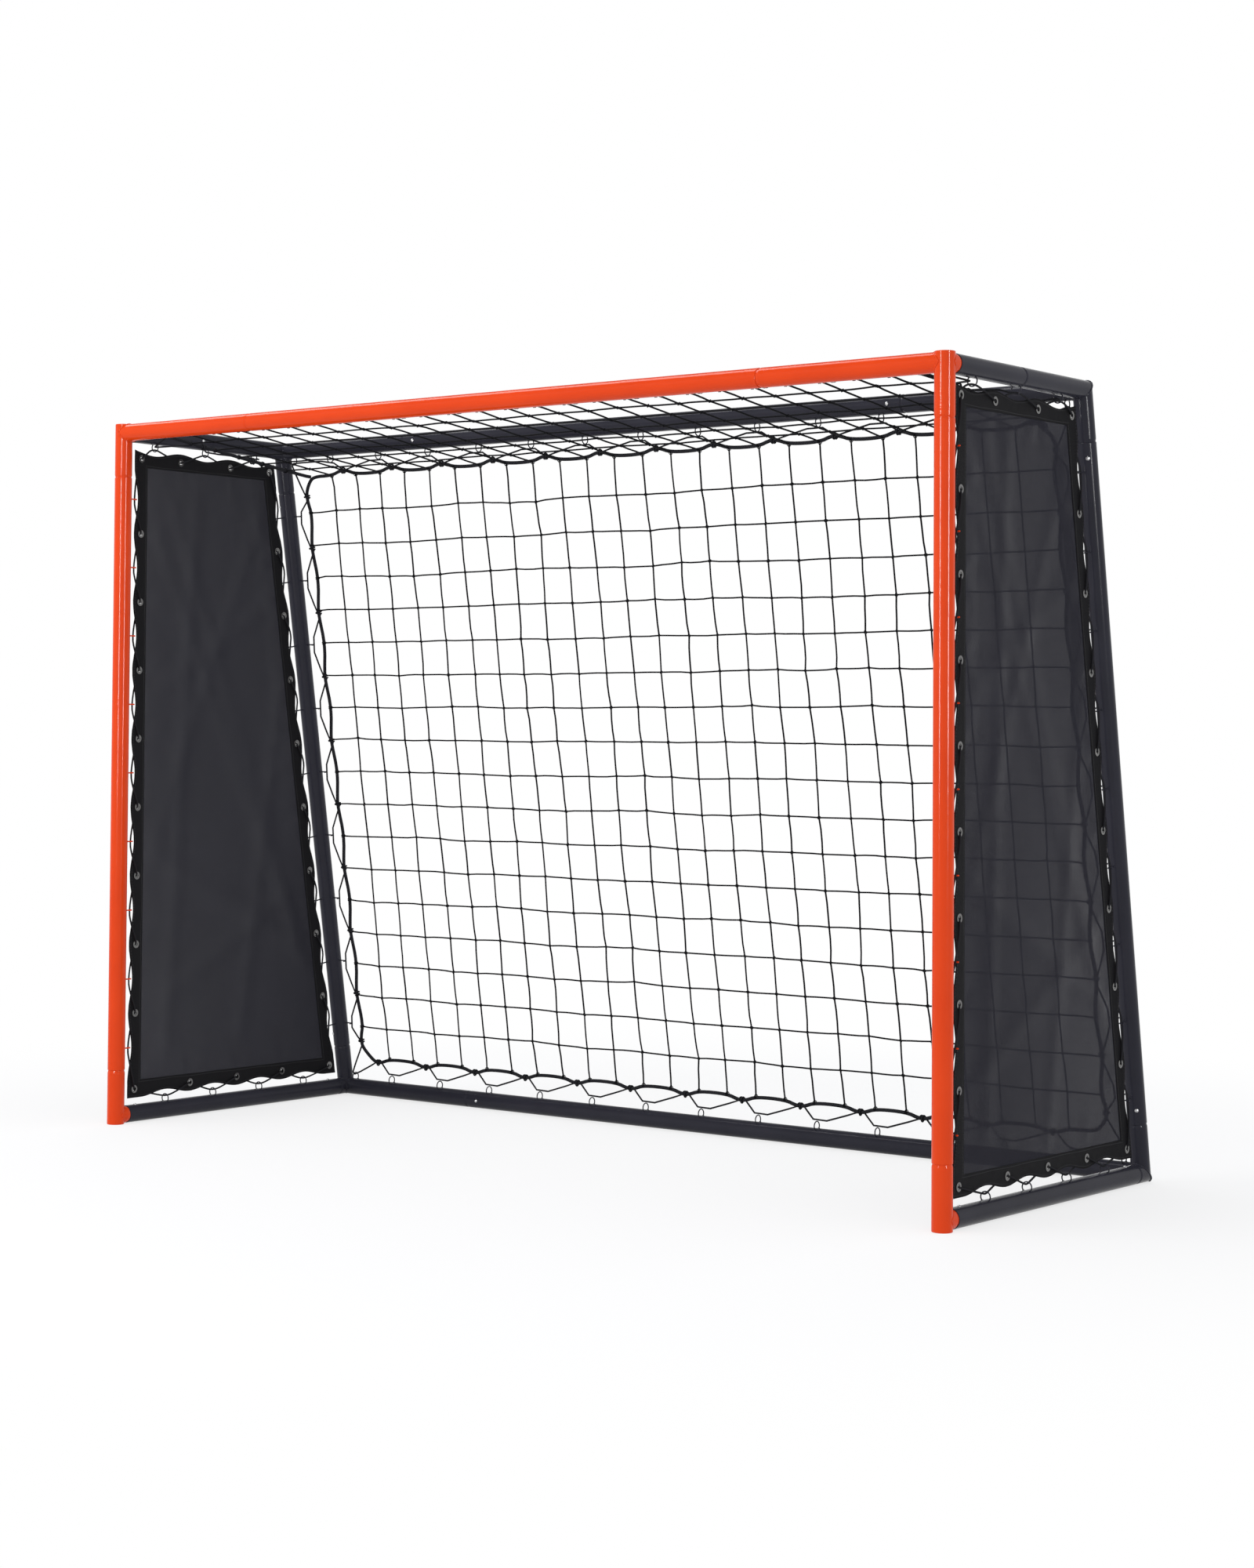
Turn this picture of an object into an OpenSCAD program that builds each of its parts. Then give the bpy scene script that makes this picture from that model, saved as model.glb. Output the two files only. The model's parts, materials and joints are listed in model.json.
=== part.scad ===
// Knock-down backyard goal: a tube frame that plugs together, a knotted net behind and above,
// and a laced fabric panel at each side. X runs along the crossbar, Y to the back, Z up.

/* [Goal] */
// Overall width across the front posts
goal_w = 2743; // [2500:1:3000]
// Overall height
goal_h = 1981; // [1850:1:2150]
// Depth between the front and rear tubes on the ground
base_depth = 960; // [880:1:1100]
// Depth between the crossbar and the rear top bar
top_depth = 648; // [600:1:700]

/* [Tubes] */
// Outer diameter of every frame tube
tube_d = 48.6; // [46:0.1:51]
// Wall of every frame tube
tube_wall = 2; // [1.6:0.1:2.6]
// Rounding of the tube ends at a seam
lip = 1.4; // [0.8:0.1:1.5]
// Length of a corner's arm along the crossbar and the rear bars
bar_arm = 505; // [450:1:560]
// Length of a corner's arm along a post
post_arm = 128; // [115:1:140]
// Length of a front corner's stub towards the back
front_stub = 36; // [34:1:45]
// Length of a rear top corner's arm towards the front
top_arm = 318; // [290:1:340]
// Length of a rear foot corner's stub towards the front
foot_stub = 46; // [44:1:55]
// How much slimmer a welded branch is than the tube it meets, in radius
branch_step = 0.1; // [0.05:0.01:0.2]

/* [Spigots] */
// Length of the spigot that slides into the next tube
spigot_len = 70; // [62:1:80]
// Wall of the spigot
spigot_wall = 2; // [1.6:0.1:2.4]
// Length of the narrow bore behind the seam
spigot_root = 18; // [16:1:20]
// Length of the shoulder behind the seam, where an arm narrows to its spigot
shoulder = 9; // [7:0.5:10]
// Width of the ledge at the shoulder's small end, which the next tube's end stands on
ledge = 0.6; // [0.5:0.1:0.8]
// Bevel at the spigot's mouth
spigot_bevel = 1; // [0.5:0.1:1.4]
// Clearance between parts that slide or seat
fit_gap = 0.3; // [0.2:0.05:0.4]

/* [Snap buttons] */
// Diameter of a button
button_d = 9.5; // [8.5:0.1:10.5]
// Distance from the seam to the button's centre
button_from_seam = 38; // [34:1:44]
// How far a button stands out of the tube
button_rise = 3; // [2.4:0.1:3.6]
// Height of the domed top
button_dome = 2; // [1.5:0.1:2.4]
// Diameter of the flange that stops the button inside the spigot
button_flange_d = 13; // [12:0.1:14]
// Thickness of that flange
button_flange_t = 2; // [1.5:0.1:2.5]
// Width of the leaf spring under a button
spring_w = 8; // [6:0.5:9]
// Thickness of the leaf spring
spring_t = 0.9; // [0.7:0.1:1.2]
// Length of the leaf's flat ends
spring_pad = 14; // [12:0.5:16]
// Distance of the leaf's bend behind the seam
spring_bend = 10; // [8:0.5:12]
// How far the side of a rear post's button is turned outwards, in degrees
button_turn = 30; // [20:1:40]

/* [Post caps] */
// Thickness of a cap's face
cap_t = 4; // [3:0.1:5]
// Bevel around a cap's face
cap_bevel = 1; // [0.5:0.1:1.5]
// Length of a cap's plug
cap_plug = 22; // [18:1:26]
// Wall of a cap's plug
cap_wall = 3; // [2:0.1:4]

/* [Lacing pins] */
// Diameter of the wire that the pins are made of
pin_d = 4; // [3.5:0.1:4.5]
// Distance from the tube's surface to the middle of a pin's turned end
pin_reach = 27; // [26:0.1:28]
// Length of a pin's turned end
pin_lip = 9; // [8.5:0.1:10]
// Number of pins down a post on each side
pin_count = 9; // [7:1:10]
// Distance from a front corner's centre to its nearest pin
pin_end = 186; // [180:1:195]

/* [Lacing loops] */
// Diameter of the wire that the loops are made of
loop_wire = 3.2; // [2.8:0.1:3.6]
// Radius of a loop, to the middle of its wire
loop_r = 12.5; // [12:0.1:13]
// Distance from the tube's surface to a loop's centre
loop_drop = 6.7; // [6:0.1:7]
// Number of equal spaces that the loops share a long bar into
bar_spaces = 14; // [12:1:15]
// Distance of a corner loop from the post's centre line
corner_loop = 44; // [42:1:48]
// Number of loops under a top side bar
top_loops = 3; // [3:1:4]
// Distance from a post's centre to the nearest loop of a top side bar
top_loop_end = 122; // [116:1:128]
// Number of loops on a base side bar
base_loops = 4; // [3:1:5]
// Distance from a post's centre to the nearest loop of a base side bar
base_loop_end = 192; // [180:1:200]

/* [Nets] */
// Diameter of the border rope
rope_d = 10; // [9:0.1:11]
// Diameter of the net's string
string_d = 3; // [2.5:0.1:3.5]
// Distance of the back net's top rope below the rear top bar's centre
rope_below = 82; // [80:1:88]
// Distance of the back net's bottom rope above the ground bar's centre
rope_above = 95; // [88:1:100]
// How far the lacing pulls a rope out of line
rope_pull = 13; // [10:0.5:14]
// Half length of the flat top of a pulled stretch
pull_flat = 12; // [11:0.5:14]
// How far a rope's corner is cut off
rope_corner = 20; // [16:1:24]
// Distance of the top net's front rope from the crossbar's centre
rope_behind = 72; // [70:1:76]
// Number of cells of the top net from front to back
top_rows = 6; // [5:1:7]
// Diameter of the lacing cord
lace_d = 5; // [4.5:0.1:5.2]

/* [Side panels] */
// Distance from the tube's surface to the hem's outer edge
hem_gap = 18.7; // [18:0.1:20]
// How far the hem draws back beside a pin or loop
hem_scallop = 14; // [13.5:0.1:15]
// Width of the hem
hem_w = 50; // [47:1:54]
// Thickness of the hem
hem_t = 4; // [3.6:0.1:4.4]
// Thickness of the panel's fabric
sheet_t = 1.4; // [1:0.1:1.8]
// How far the fabric is tucked into the hem
tuck = 12; // [9:0.5:14]
// Distance from the hem's edge to a grommet's centre
grommet_in = 25; // [24:0.5:26]
// Diameter of a grommet's rim
grommet_d = 22; // [21:0.5:23]
// Diameter of a grommet's hole
grommet_hole = 11; // [10.8:0.1:12]
// Thickness of a grommet's metal
grommet_t = 1; // [0.8:0.1:1.2]

/* [Hidden] */
$fn = 64;

ORANGE = "#e5481f";
CHARCOAL = "#33343f";
BLACK = "#17171a";
FABRIC = "#3b3b44";
STEEL = "#c9cacd";

LEFT = -1;
RIGHT = 1;
X = [1, 0, 0];
Y = [0, 1, 0];
Z = [0, 0, 1];

// radii of the tubes, of the bores and of the spigots
tube_r = tube_d / 2;
bore_r = tube_r - tube_wall;
spigot_r = bore_r - fit_gap;
spigot_bore_r = spigot_r - spigot_wall;

// centre lines of the frame
half_w = goal_w / 2 - tube_r;
base_z = tube_r;
top_z = goal_h - tube_r;
post_h = top_z - base_z;
front_y = -base_depth / 2;
rear_base_y = base_depth / 2;
rear_top_y = front_y + top_depth;
rear_post_len = norm([rear_base_y - rear_top_y, post_h]);
lean = atan2(rear_base_y - rear_top_y, post_h);

// directions of the leaning back: up along it, and square to it towards the mouth
BACK_UP = [0, -sin(lean), cos(lean)];
BACK_OUT = [0, -cos(lean), -sin(lean)];

// how much further the lacing keeps from the pins and loops than it must: towards the tube beside
// a pin, over a pin, inside a bar's loop and inside a top side bar's loop
in_slack = 1.2;
side_slack = 1.1;
loop_slack = 1.35;
side_loop_slack = 1.45;

// lacing distances, all from a tube's centre line
pin_mid = tube_r + pin_reach;
pin_clear = pin_d / 2 + lace_d / 2 + fit_gap;
pin_pass = pin_mid - in_slack * pin_clear;
pin_side = side_slack * pin_clear;
pin_pitch = (post_h - 2 * pin_end) / (pin_count - 1);
rear_pin_end = (rear_post_len - (pin_count - 1) * pin_pitch) / 2;
loop_mid = tube_r + loop_drop;
loop_clear = loop_wire / 2 + lace_d / 2 + fit_gap;
loop_pass = loop_mid + loop_r - loop_slack * loop_clear;
bar_pitch = 2 * half_w / bar_spaces;
cell_w = bar_pitch / 2;
wrap_r = (rope_d / 2 + lace_d / 2 + fit_gap) / cos(30);

// lengths along the lacing: half of a turn round a rope, its lift over a rope's corner, and the
// runs by a corner loop, a side bar's last and first loop, a pin, a base loop and a grommet
wrap_half = 8;
corner_in = [7, 3];
corner_out = [9, 10];
over_run = 1.8;
end_run = 15;
lead_run = 8;
pin_run = 40;
loop_run = [25, 5];
grommet_run = 4;

// the back net in its own plane: x across, y up from the rear top bar's centre
net_x = half_w - cell_w;
net_top = -rope_below;
net_base = rope_above - rear_post_len;

// the top net in its own plane: x across, y back from the crossbar's centre
rear_rope = [0, rear_top_y, top_z] + net_top * BACK_UP;
top_run = rear_rope - [0, front_y, top_z];
top_len = norm(top_run);
TOP_BACK = top_run / top_len;
TOP_UP = cross(X, TOP_BACK);

// hem and sheet distances, from the tubes' centre lines
hem_edge = tube_r + hem_gap;
hem_inner = hem_edge + hem_w;
sheet_edge = hem_inner - tuck;
grommet_mid = hem_edge + grommet_in;
face_side = hem_t / 2 + lace_d / 2 + fit_gap;
rim_side = hem_t / 2 + fit_gap + grommet_t + lace_d / 2 + 2 * fit_gap;

// ---------------------------------------------------------------- placing

function unit(v) = v / norm(v);

// puts the children's origin at o, with their z along z and their x along x
module set_at(o, z, x) {
  y = cross(z, x);
  multmatrix([[x.x, y.x, z.x, o.x], [x.y, y.y, z.y, o.y], [x.z, y.z, z.z, o.z], [0, 0, 0, 1]])
    children();
}

module back_plane() {
  set_at([0, rear_top_y, top_z], BACK_OUT, X) children();
}

module top_plane() {
  set_at([0, front_y, top_z], TOP_UP, X) children();
}

module right_panel_plane() {
  set_at([half_w, 0, 0], X, Y) children();
}

module left_of_right() {
  mirror(X) children();
}

function front_top(side) = [side * half_w, front_y, top_z];
function front_foot(side) = [side * half_w, front_y, base_z];
function rear_top(side) = [side * half_w, rear_top_y, top_z];
function rear_foot(side) = [side * half_w, rear_base_y, base_z];

// ---------------------------------------------------------------- seams and buttons

// a seam: the corner's centre, the arm's direction, its length, the button's direction, the
// arm's radius
function seam(o, d, len, b, step = 1) = [o, d, len, b, tube_r - step * branch_step];

function outward_button(side) = unit(cos(button_turn) * BACK_OUT + sin(button_turn) * side * X);
function crossbar_seam(side) = seam(front_top(side), -side * X, bar_arm, Y);
function front_upper_seam(side) = seam(front_top(side), -Z, post_arm, Y, 0);
function front_lower_seam(side) = seam(front_foot(side), Z, post_arm, Y, 0);
function top_front_seam(side) = seam(front_top(side), Y, front_stub, -side * X, 2);
function top_rear_seam(side) = seam(rear_top(side), -Y, top_arm, -side * X, 0);
function rear_top_seam(side) = seam(rear_top(side), -side * X, bar_arm, -Y, 2);
function rear_upper_seam(side) = seam(rear_top(side), -BACK_UP, post_arm, outward_button(side));
function rear_lower_seam(side) = seam(rear_foot(side), BACK_UP, post_arm, outward_button(side));
function base_front_seam(side) = seam(front_foot(side), Y, front_stub, Z);
function base_rear_seam(side) = seam(rear_foot(side), -Y, foot_stub, Z, 0);
function ground_seam(side) = seam(rear_foot(side), -side * X, bar_arm, -Y, 2);

function button_centre(s) = s[0] + (s[2] + button_from_seam) * s[1];

flange_top = sqrt(pow(spigot_bore_r, 2) - pow(button_flange_d / 2, 2)) - fit_gap;
flange_base = flange_top - button_flange_t;
button_top = tube_r + button_rise;
dome_r = (pow(button_d / 2, 2) + pow(button_dome, 2)) / (2 * button_dome);

module button_hole(s) {
  set_at(button_centre(s), s[3], s[1])
    cylinder(h = 1.5 * tube_r, d = button_d + 2 * fit_gap);
}

// the button: a flange inside the spigot, a round shank and a domed top
module snap_button(s) {
  rim = asin(button_d / 2 / dome_r);
  color(STEEL)
    set_at(button_centre(s), s[3], s[1])
      rotate_extrude()
        polygon(concat(
          [
            [0, flange_base], [button_flange_d / 2, flange_base],
            [button_flange_d / 2, flange_top], [button_d / 2, flange_top]
          ],
          [for (a = [rim:-rim / 6:0.01]) [dome_r * sin(a), button_top - dome_r * (1 - cos(a))]],
          [[0, button_top]]
        ));
}

// a V of leaf spring in the spigot: x runs along the tube from the seam, y towards the button
module leaf_spring(s) {
  high = flange_base - fit_gap;
  low = sqrt(pow(spigot_bore_r - fit_gap, 2) - pow(spring_w / 2, 2));
  pad_0 = button_from_seam - spring_pad / 2;
  pad_1 = button_from_seam + spring_pad / 2;
  bend = -spring_bend;
  color(STEEL)
    set_at(s[0] + s[2] * s[1], cross(s[1], s[3]), s[1])
      linear_extrude(spring_w, center = true)
        polygon([
          [pad_1, high], [pad_0, high], [bend, spring_t], [bend, -spring_t], [pad_0, -low],
          [pad_1, -low], [pad_1, spring_t - low], [pad_0, spring_t - low],
          [bend + 3 * spring_t, 0], [pad_0, high - spring_t], [pad_1, high - spring_t]
        ]);
}

// ---------------------------------------------------------------- tubes

// quarter round at a tube's end, from the tube's side to its face
function lip_points(r, z, up) =
  [for (a = [0, 30, 60, 90]) [r - lip + lip * cos(a), z + up * (lip * sin(a) - lip)]];

// the shoulder at an arm's end, from its side to the ledge: an easy curve in and out
function shoulder_points(r, z) =
  [for (t = [0:0.25:1]) [r + (spigot_r + ledge - r) * (1 - cos(180 * t)) / 2, z - shoulder * (1 - t)]];

// an arm with its spigot, solid, from z = from
module arm_solid(r, from, len) {
  rotate_extrude()
    polygon(concat(
      [[0, from]], [for (i = [3:-1:0]) lip_points(r, from, -1)[i]],
      shoulder_points(r, len),
      [
        [spigot_r, len], [spigot_r, len + spigot_len - spigot_bevel],
        [spigot_r - spigot_bevel, len + spigot_len], [0, len + spigot_len]
      ]
    ));
}

// the hollow of that arm
module arm_hollow(r, from, len) {
  inner = r - tube_wall;
  step = inner - spigot_bore_r;
  rotate_extrude()
    polygon([
      [0, from], [inner, from], [inner, len - spigot_root - step],
      [spigot_bore_r, len - spigot_root], [spigot_bore_r, len + spigot_len + 1],
      [0, len + spigot_len + 1]
    ]);
}

module seam_arm(s, from = 0) {
  set_at(s[0], s[1], s[3]) arm_solid(s[4], from, s[2]);
}

module seam_hollow(s, from = 0) {
  set_at(s[0], s[1], s[3]) arm_hollow(s[4], from, s[2]);
  button_hole(s);
}

// puts the children on an arm, z along it, and cuts them off at its mitre with another, or a
// little past it
module mitred(s, other, past = 0) {
  big = 3 * tube_r;
  set_at(s[0], s[1], unit(other - other * s[1] * s[1]))
    difference() {
      children();
      rotate([0, acos(other * s[1]) / 2, 0])
        translate([past, -big, -big])
          cube([big, 2 * big, 2 * big]);
    }
}

module mitred_arm(s, other, past = 0) {
  mitred(s, other, past) arm_solid(s[4], -2 * tube_r, s[2]);
}

module mitred_hollow(s, other, past = 0) {
  mitred(s, other, past) arm_hollow(s[4], -2 * tube_r, s[2]);
  button_hole(s);
}

// a straight tube with rounded ends that runs from one seam to another
module straight_tube(a, b) {
  from = a[0] + a[2] * a[1];
  len = norm(b[0] + b[2] * b[1] - from);
  difference() {
    set_at(from, a[1], a[3])
      rotate_extrude()
        polygon(concat(
          [[bore_r, 0]], [for (i = [3:-1:0]) lip_points(tube_r, 0, -1)[i]],
          lip_points(tube_r, len, 1), [[bore_r, len]]
        ));
    button_hole(a);
    button_hole(b);
  }
}

// ---------------------------------------------------------------- welded corners

// the front post runs through, and the crossbar's arm and the side stub are welded to it
module front_top_corner(side) {
  color(ORANGE)
    difference() {
      union() {
        seam_arm(front_upper_seam(side), -tube_r);
        seam_arm(crossbar_seam(side));
        seam_arm(top_front_seam(side));
      }
      seam_hollow(front_upper_seam(side), -tube_r - 1);
      seam_hollow(crossbar_seam(side));
      seam_hollow(top_front_seam(side));
    }
}

module front_foot_corner(side) {
  color(ORANGE)
    difference() {
      union() {
        seam_arm(front_lower_seam(side), -tube_r);
        seam_arm(base_front_seam(side));
      }
      seam_hollow(front_lower_seam(side), -tube_r - 1);
      seam_hollow(base_front_seam(side));
    }
}

// the side arm and the post's arm are mitred, and the bar's arm is welded to them. The post's arm is
// slimmer by the branch step, so that its end can reach half of that past the mitre
module rear_corner(side_seam, bar_seam, post_seam) {
  past = branch_step / 2;
  color(CHARCOAL)
    difference() {
      union() {
        mitred_arm(side_seam, post_seam[1]);
        mitred_arm(post_seam, side_seam[1], past);
        seam_arm(bar_seam);
      }
      mitred_hollow(side_seam, post_seam[1]);
      mitred_hollow(post_seam, side_seam[1], past);
      seam_hollow(bar_seam);
    }
}

module rear_top_corner(side) {
  rear_corner(top_rear_seam(side), rear_top_seam(side), rear_upper_seam(side));
}

module rear_foot_corner(side) {
  rear_corner(base_rear_seam(side), ground_seam(side), rear_lower_seam(side));
}

// a plastic cap in the post's open end, flush with it: z points out of the post
module post_cap(end, out) {
  plug_r = bore_r - fit_gap;
  set_at(end, out, X)
    rotate_extrude()
      polygon([
        [0, -cap_t], [plug_r - cap_wall, -cap_t], [plug_r - cap_wall, -cap_plug],
        [plug_r, -cap_plug], [plug_r, -cap_bevel], [plug_r - cap_bevel, 0], [0, 0]
      ]);
}

module post_caps() {
  color(ORANGE)
    for (side = [LEFT, RIGHT]) {
      post_cap(front_top(side) + tube_r * Z, Z);
      post_cap(front_foot(side) - tube_r * Z, -Z);
    }
}

module button_springs() {
  for (side = [LEFT, RIGHT]) {
    leaf_spring(crossbar_seam(side));
    leaf_spring(front_upper_seam(side));
    leaf_spring(front_lower_seam(side));
    leaf_spring(top_front_seam(side));
    leaf_spring(top_rear_seam(side));
    leaf_spring(rear_top_seam(side));
    leaf_spring(rear_upper_seam(side));
    leaf_spring(rear_lower_seam(side));
    leaf_spring(base_front_seam(side));
    leaf_spring(base_rear_seam(side));
    leaf_spring(ground_seam(side));
  }
}

// ---------------------------------------------------------------- pins and loops

// a wire pin welded to a tube that runs along y through the origin: z points away from the tube
// and the pin's end turns towards x
module wire_pin() {
  difference() {
    union() {
      cylinder(h = pin_mid, d = pin_d);
      translate([0, 0, pin_mid]) sphere(d = pin_d);
      translate([0, 0, pin_mid]) rotate([0, 90, 0]) cylinder(h = pin_lip, d = pin_d);
      translate([pin_lip, 0, pin_mid]) sphere(d = pin_d);
    }
    rotate([90, 0, 0]) cylinder(h = 8 * pin_d, r = tube_r, center = true);
  }
}

// a wire loop welded to the same kind of tube, which a cord passes along y
module wire_loop() {
  difference() {
    translate([0, 0, loop_mid])
      rotate([90, 0, 0])
        rotate_extrude()
          translate([loop_r, 0]) circle(d = loop_wire);
    rotate([90, 0, 0]) cylinder(h = 8 * loop_wire, r = tube_r, center = true);
  }
}

// how far along each post, bar or panel side the pins and loops stand
front_pin_ups = [for (i = [0:pin_count - 1]) pin_end + i * pin_pitch];
rear_pin_ups = [for (i = [0:pin_count - 1]) rear_pin_end + i * pin_pitch];
top_loop_pitch = (top_depth - 2 * top_loop_end) / (top_loops - 1);
base_loop_pitch = (base_depth - 2 * base_loop_end) / (base_loops - 1);
top_loop_backs = [for (i = [0:top_loops - 1]) top_loop_end + i * top_loop_pitch];
base_loop_backs = [for (i = [0:base_loops - 1]) base_loop_end + i * base_loop_pitch];
bar_xs = [for (k = [0:bar_spaces]) k * bar_pitch - half_w];
corner_loop_x = half_w - corner_loop;
rear_loop_xs = concat(
  [-corner_loop_x], [for (k = [1:bar_spaces - 1]) bar_xs[k]], [corner_loop_x]
);

module front_pins() {
  color(ORANGE) {
    for (side = [LEFT, RIGHT], up = front_pin_ups)
      set_at(front_foot(side) + up * Z, Y, side * X) wire_pin();
    for (k = [1:bar_spaces - 1])
      set_at([bar_xs[k], front_y, top_z], TOP_BACK, TOP_UP) wire_pin();
  }
}

// at each height one pin holds the back net and another holds the side panel
module rear_post_pins() {
  color(CHARCOAL)
    for (side = [LEFT, RIGHT], up = rear_pin_ups) {
      set_at(rear_foot(side) + up * BACK_UP, -side * X, BACK_OUT) wire_pin();
      set_at(rear_foot(side) + up * BACK_UP, BACK_OUT, side * X) wire_pin();
    }
}

module rear_bar_loops() {
  color(CHARCOAL)
    for (x = rear_loop_xs) {
      set_at([x, rear_top_y, top_z], -BACK_UP, BACK_OUT) wire_loop();
      set_at([x, rear_base_y, base_z], BACK_UP, BACK_OUT) wire_loop();
    }
}

module side_bar_loops() {
  color(CHARCOAL)
    for (side = [LEFT, RIGHT]) {
      for (back = top_loop_backs)
        set_at(front_top(side) + back * Y, -Z, X) wire_loop();
      for (back = base_loop_backs)
        set_at(front_foot(side) + back * Y, Z, X) wire_loop();
    }
}

// ---------------------------------------------------------------- cords

// the direction of a route at its point i
function heading(route, i, closed) =
  let (
    n = len(route),
    before = closed ? (i + n - 1) % n : max(i - 1, 0),
    after = closed ? (i + 1) % n : min(i + 1, n - 1),
    come = before == i ? [0, 0, 0] : unit(route[i] - route[before]),
    go = after == i ? [0, 0, 0] : unit(route[after] - route[i])
  )
  unit(come + go);

// a round cord along a route that keeps near one plane: flat is that plane's normal
module cord(route, d, flat, closed = false) {
  sides = 8;
  n = len(route);
  points = [
    for (i = [0:n - 1])
      let (t = heading(route, i, closed), a = unit(cross(t, flat)), b = cross(t, a))
        for (k = [0:sides - 1])
          route[i] + d / 2 * (cos(360 * k / sides) * a + sin(360 * k / sides) * b)
  ];
  last = closed ? n - 1 : n - 2;
  walls = [
    for (i = [0:last], k = [0:sides - 1])
      let (
        p = i * sides + k,
        q = i * sides + (k + 1) % sides,
        r = ((i + 1) % n) * sides + (k + 1) % sides,
        s = ((i + 1) % n) * sides + k
      )
        each [[p, s, r], [p, r, q]]
  ];
  start = [[for (k = [0:sides - 1]) k]];
  end = [[for (k = [sides - 1:-1:0]) (n - 1) * sides + k]];
  polyhedron(points, closed ? walls : concat(start, walls, end));
}

// half a turn of lacing around a rope at c: along is the way of travel, bar points to the bar
// that the rope is laced to, and the cord goes from below the plane to above it
function wrap(c, along, bar) = [
  for (a = [0, 60, 120, 180])
    c + wrap_half * (a / 90 - 1) * along - wrap_r * sin(a) * bar - wrap_r * cos(a) * Z
];

// the two points of a rope's pulled stretch
function pull(c, along) = [c - pull_flat * along, c + pull_flat * along];

// ---------------------------------------------------------------- back net

// heights of the pins, of the rope's pulled points between them, and of the corners
pin_vs = [for (up = rear_pin_ups) up - rear_post_len];
side_stops = concat([net_base], pin_vs, [net_top]);
side_pulls = [for (i = [0:pin_count]) (side_stops[i] + side_stops[i + 1]) / 2];
pulled_x = net_x + rope_pull;
pulled_top = net_top + rope_pull;
pulled_base = net_base - rope_pull;
quarter = cell_w / 2;

// up the left side, across the top, down the right side and back along the bottom
back_rope_route = concat(
  [for (i = [0:pin_count]) each concat(
    i == 0 ? [] : [[-net_x, pin_vs[i - 1], 0]],
    pull([-pulled_x, side_pulls[i], 0], Y)
  )],
  [[-net_x, net_top - rope_corner, 0], [rope_corner - net_x, net_top, 0]],
  [for (k = [1:bar_spaces - 1]) each concat(
    [[bar_xs[k], net_top, 0]],
    pull([bar_xs[k] + quarter, pulled_top, 0], X),
    k == bar_spaces - 1 ? [] : [[bar_xs[k] + cell_w, net_top, 0]]
  )],
  [[net_x, net_top - rope_corner, 0]],
  [for (i = [pin_count:-1:0]) each concat(
    pull([pulled_x, side_pulls[i], 0], -Y),
    i == 0 ? [] : [[net_x, pin_vs[i - 1], 0]]
  )],
  [[net_x, net_base + rope_corner, 0], [net_x - rope_corner, net_base, 0]],
  [for (k = [bar_spaces - 1:-1:1]) each concat(
    [[bar_xs[k], net_base, 0]],
    pull([bar_xs[k] - quarter, pulled_base, 0], -X),
    k == 1 ? [] : [[bar_xs[k - 1] + cell_w, net_base, 0]]
  )],
  [[-net_x, net_base + rope_corner, 0]]
);

// the cord's way through a corner loop, from the bar's side of it to the post's side
function corner_pass(side, v, away) = [
  [side * corner_loop_x, v, 0],
  [side * (corner_loop_x + corner_in.x), v + corner_in.y * away, 0],
  [side * (corner_loop_x + corner_out.x), v + corner_out.y * away, 0]
];

function side_wrap(side, i, way) =
  wrap([side * pulled_x, side_pulls[i], 0], way * Y, side * X);

function side_hold(side, i) = [side * (half_w - pin_pass), pin_vs[i], pin_side];

top_loop_v = -loop_pass;
base_loop_v = loop_pass - rear_post_len;

back_lacing_route = concat(
  [for (k = [1:bar_spaces - 1]) each concat(
    [[bar_xs[k], top_loop_v, 0]], wrap([bar_xs[k] + quarter, pulled_top, 0], X, Y)
  )],
  corner_pass(RIGHT, top_loop_v, -1),
  [for (i = [pin_count:-1:0]) each concat(
    side_wrap(RIGHT, i, -1), i == 0 ? [] : [side_hold(RIGHT, i - 1)]
  )],
  [for (i = [2:-1:0]) corner_pass(RIGHT, base_loop_v, 1)[i]],
  [for (k = [bar_spaces - 1:-1:1]) each concat(
    [[bar_xs[k], base_loop_v, 0]], wrap([bar_xs[k] - quarter, pulled_base, 0], -X, -Y)
  )],
  corner_pass(LEFT, base_loop_v, 1),
  [for (i = [0:pin_count]) each concat(
    i == 0 ? [] : [side_hold(LEFT, i - 1)], side_wrap(LEFT, i, 1)
  )],
  [for (i = [2:-1:0]) corner_pass(LEFT, top_loop_v, -1)[i]]
);

// strings across at the pins' heights and down at the rope's level points
module back_net() {
  color(BLACK)
    back_plane()
      linear_extrude(string_d, center = true) {
        for (j = [2:2 * bar_spaces - 2])
          translate([j * cell_w - half_w - string_d / 2, net_base])
            square([string_d, net_top - net_base]);
        for (v = pin_vs)
          translate([-net_x, v - string_d / 2])
            square([2 * net_x, string_d]);
      }
}

module back_net_rope() {
  color(BLACK) back_plane() cord(back_rope_route, rope_d, Z, closed = true);
}

module back_net_lacing() {
  color(BLACK) back_plane() cord(back_lacing_route, lace_d, Z, closed = true);
}

// ---------------------------------------------------------------- top net

row_d = (top_len - rope_behind) / top_rows;
pulled_front = rope_behind - rope_pull;

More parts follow.
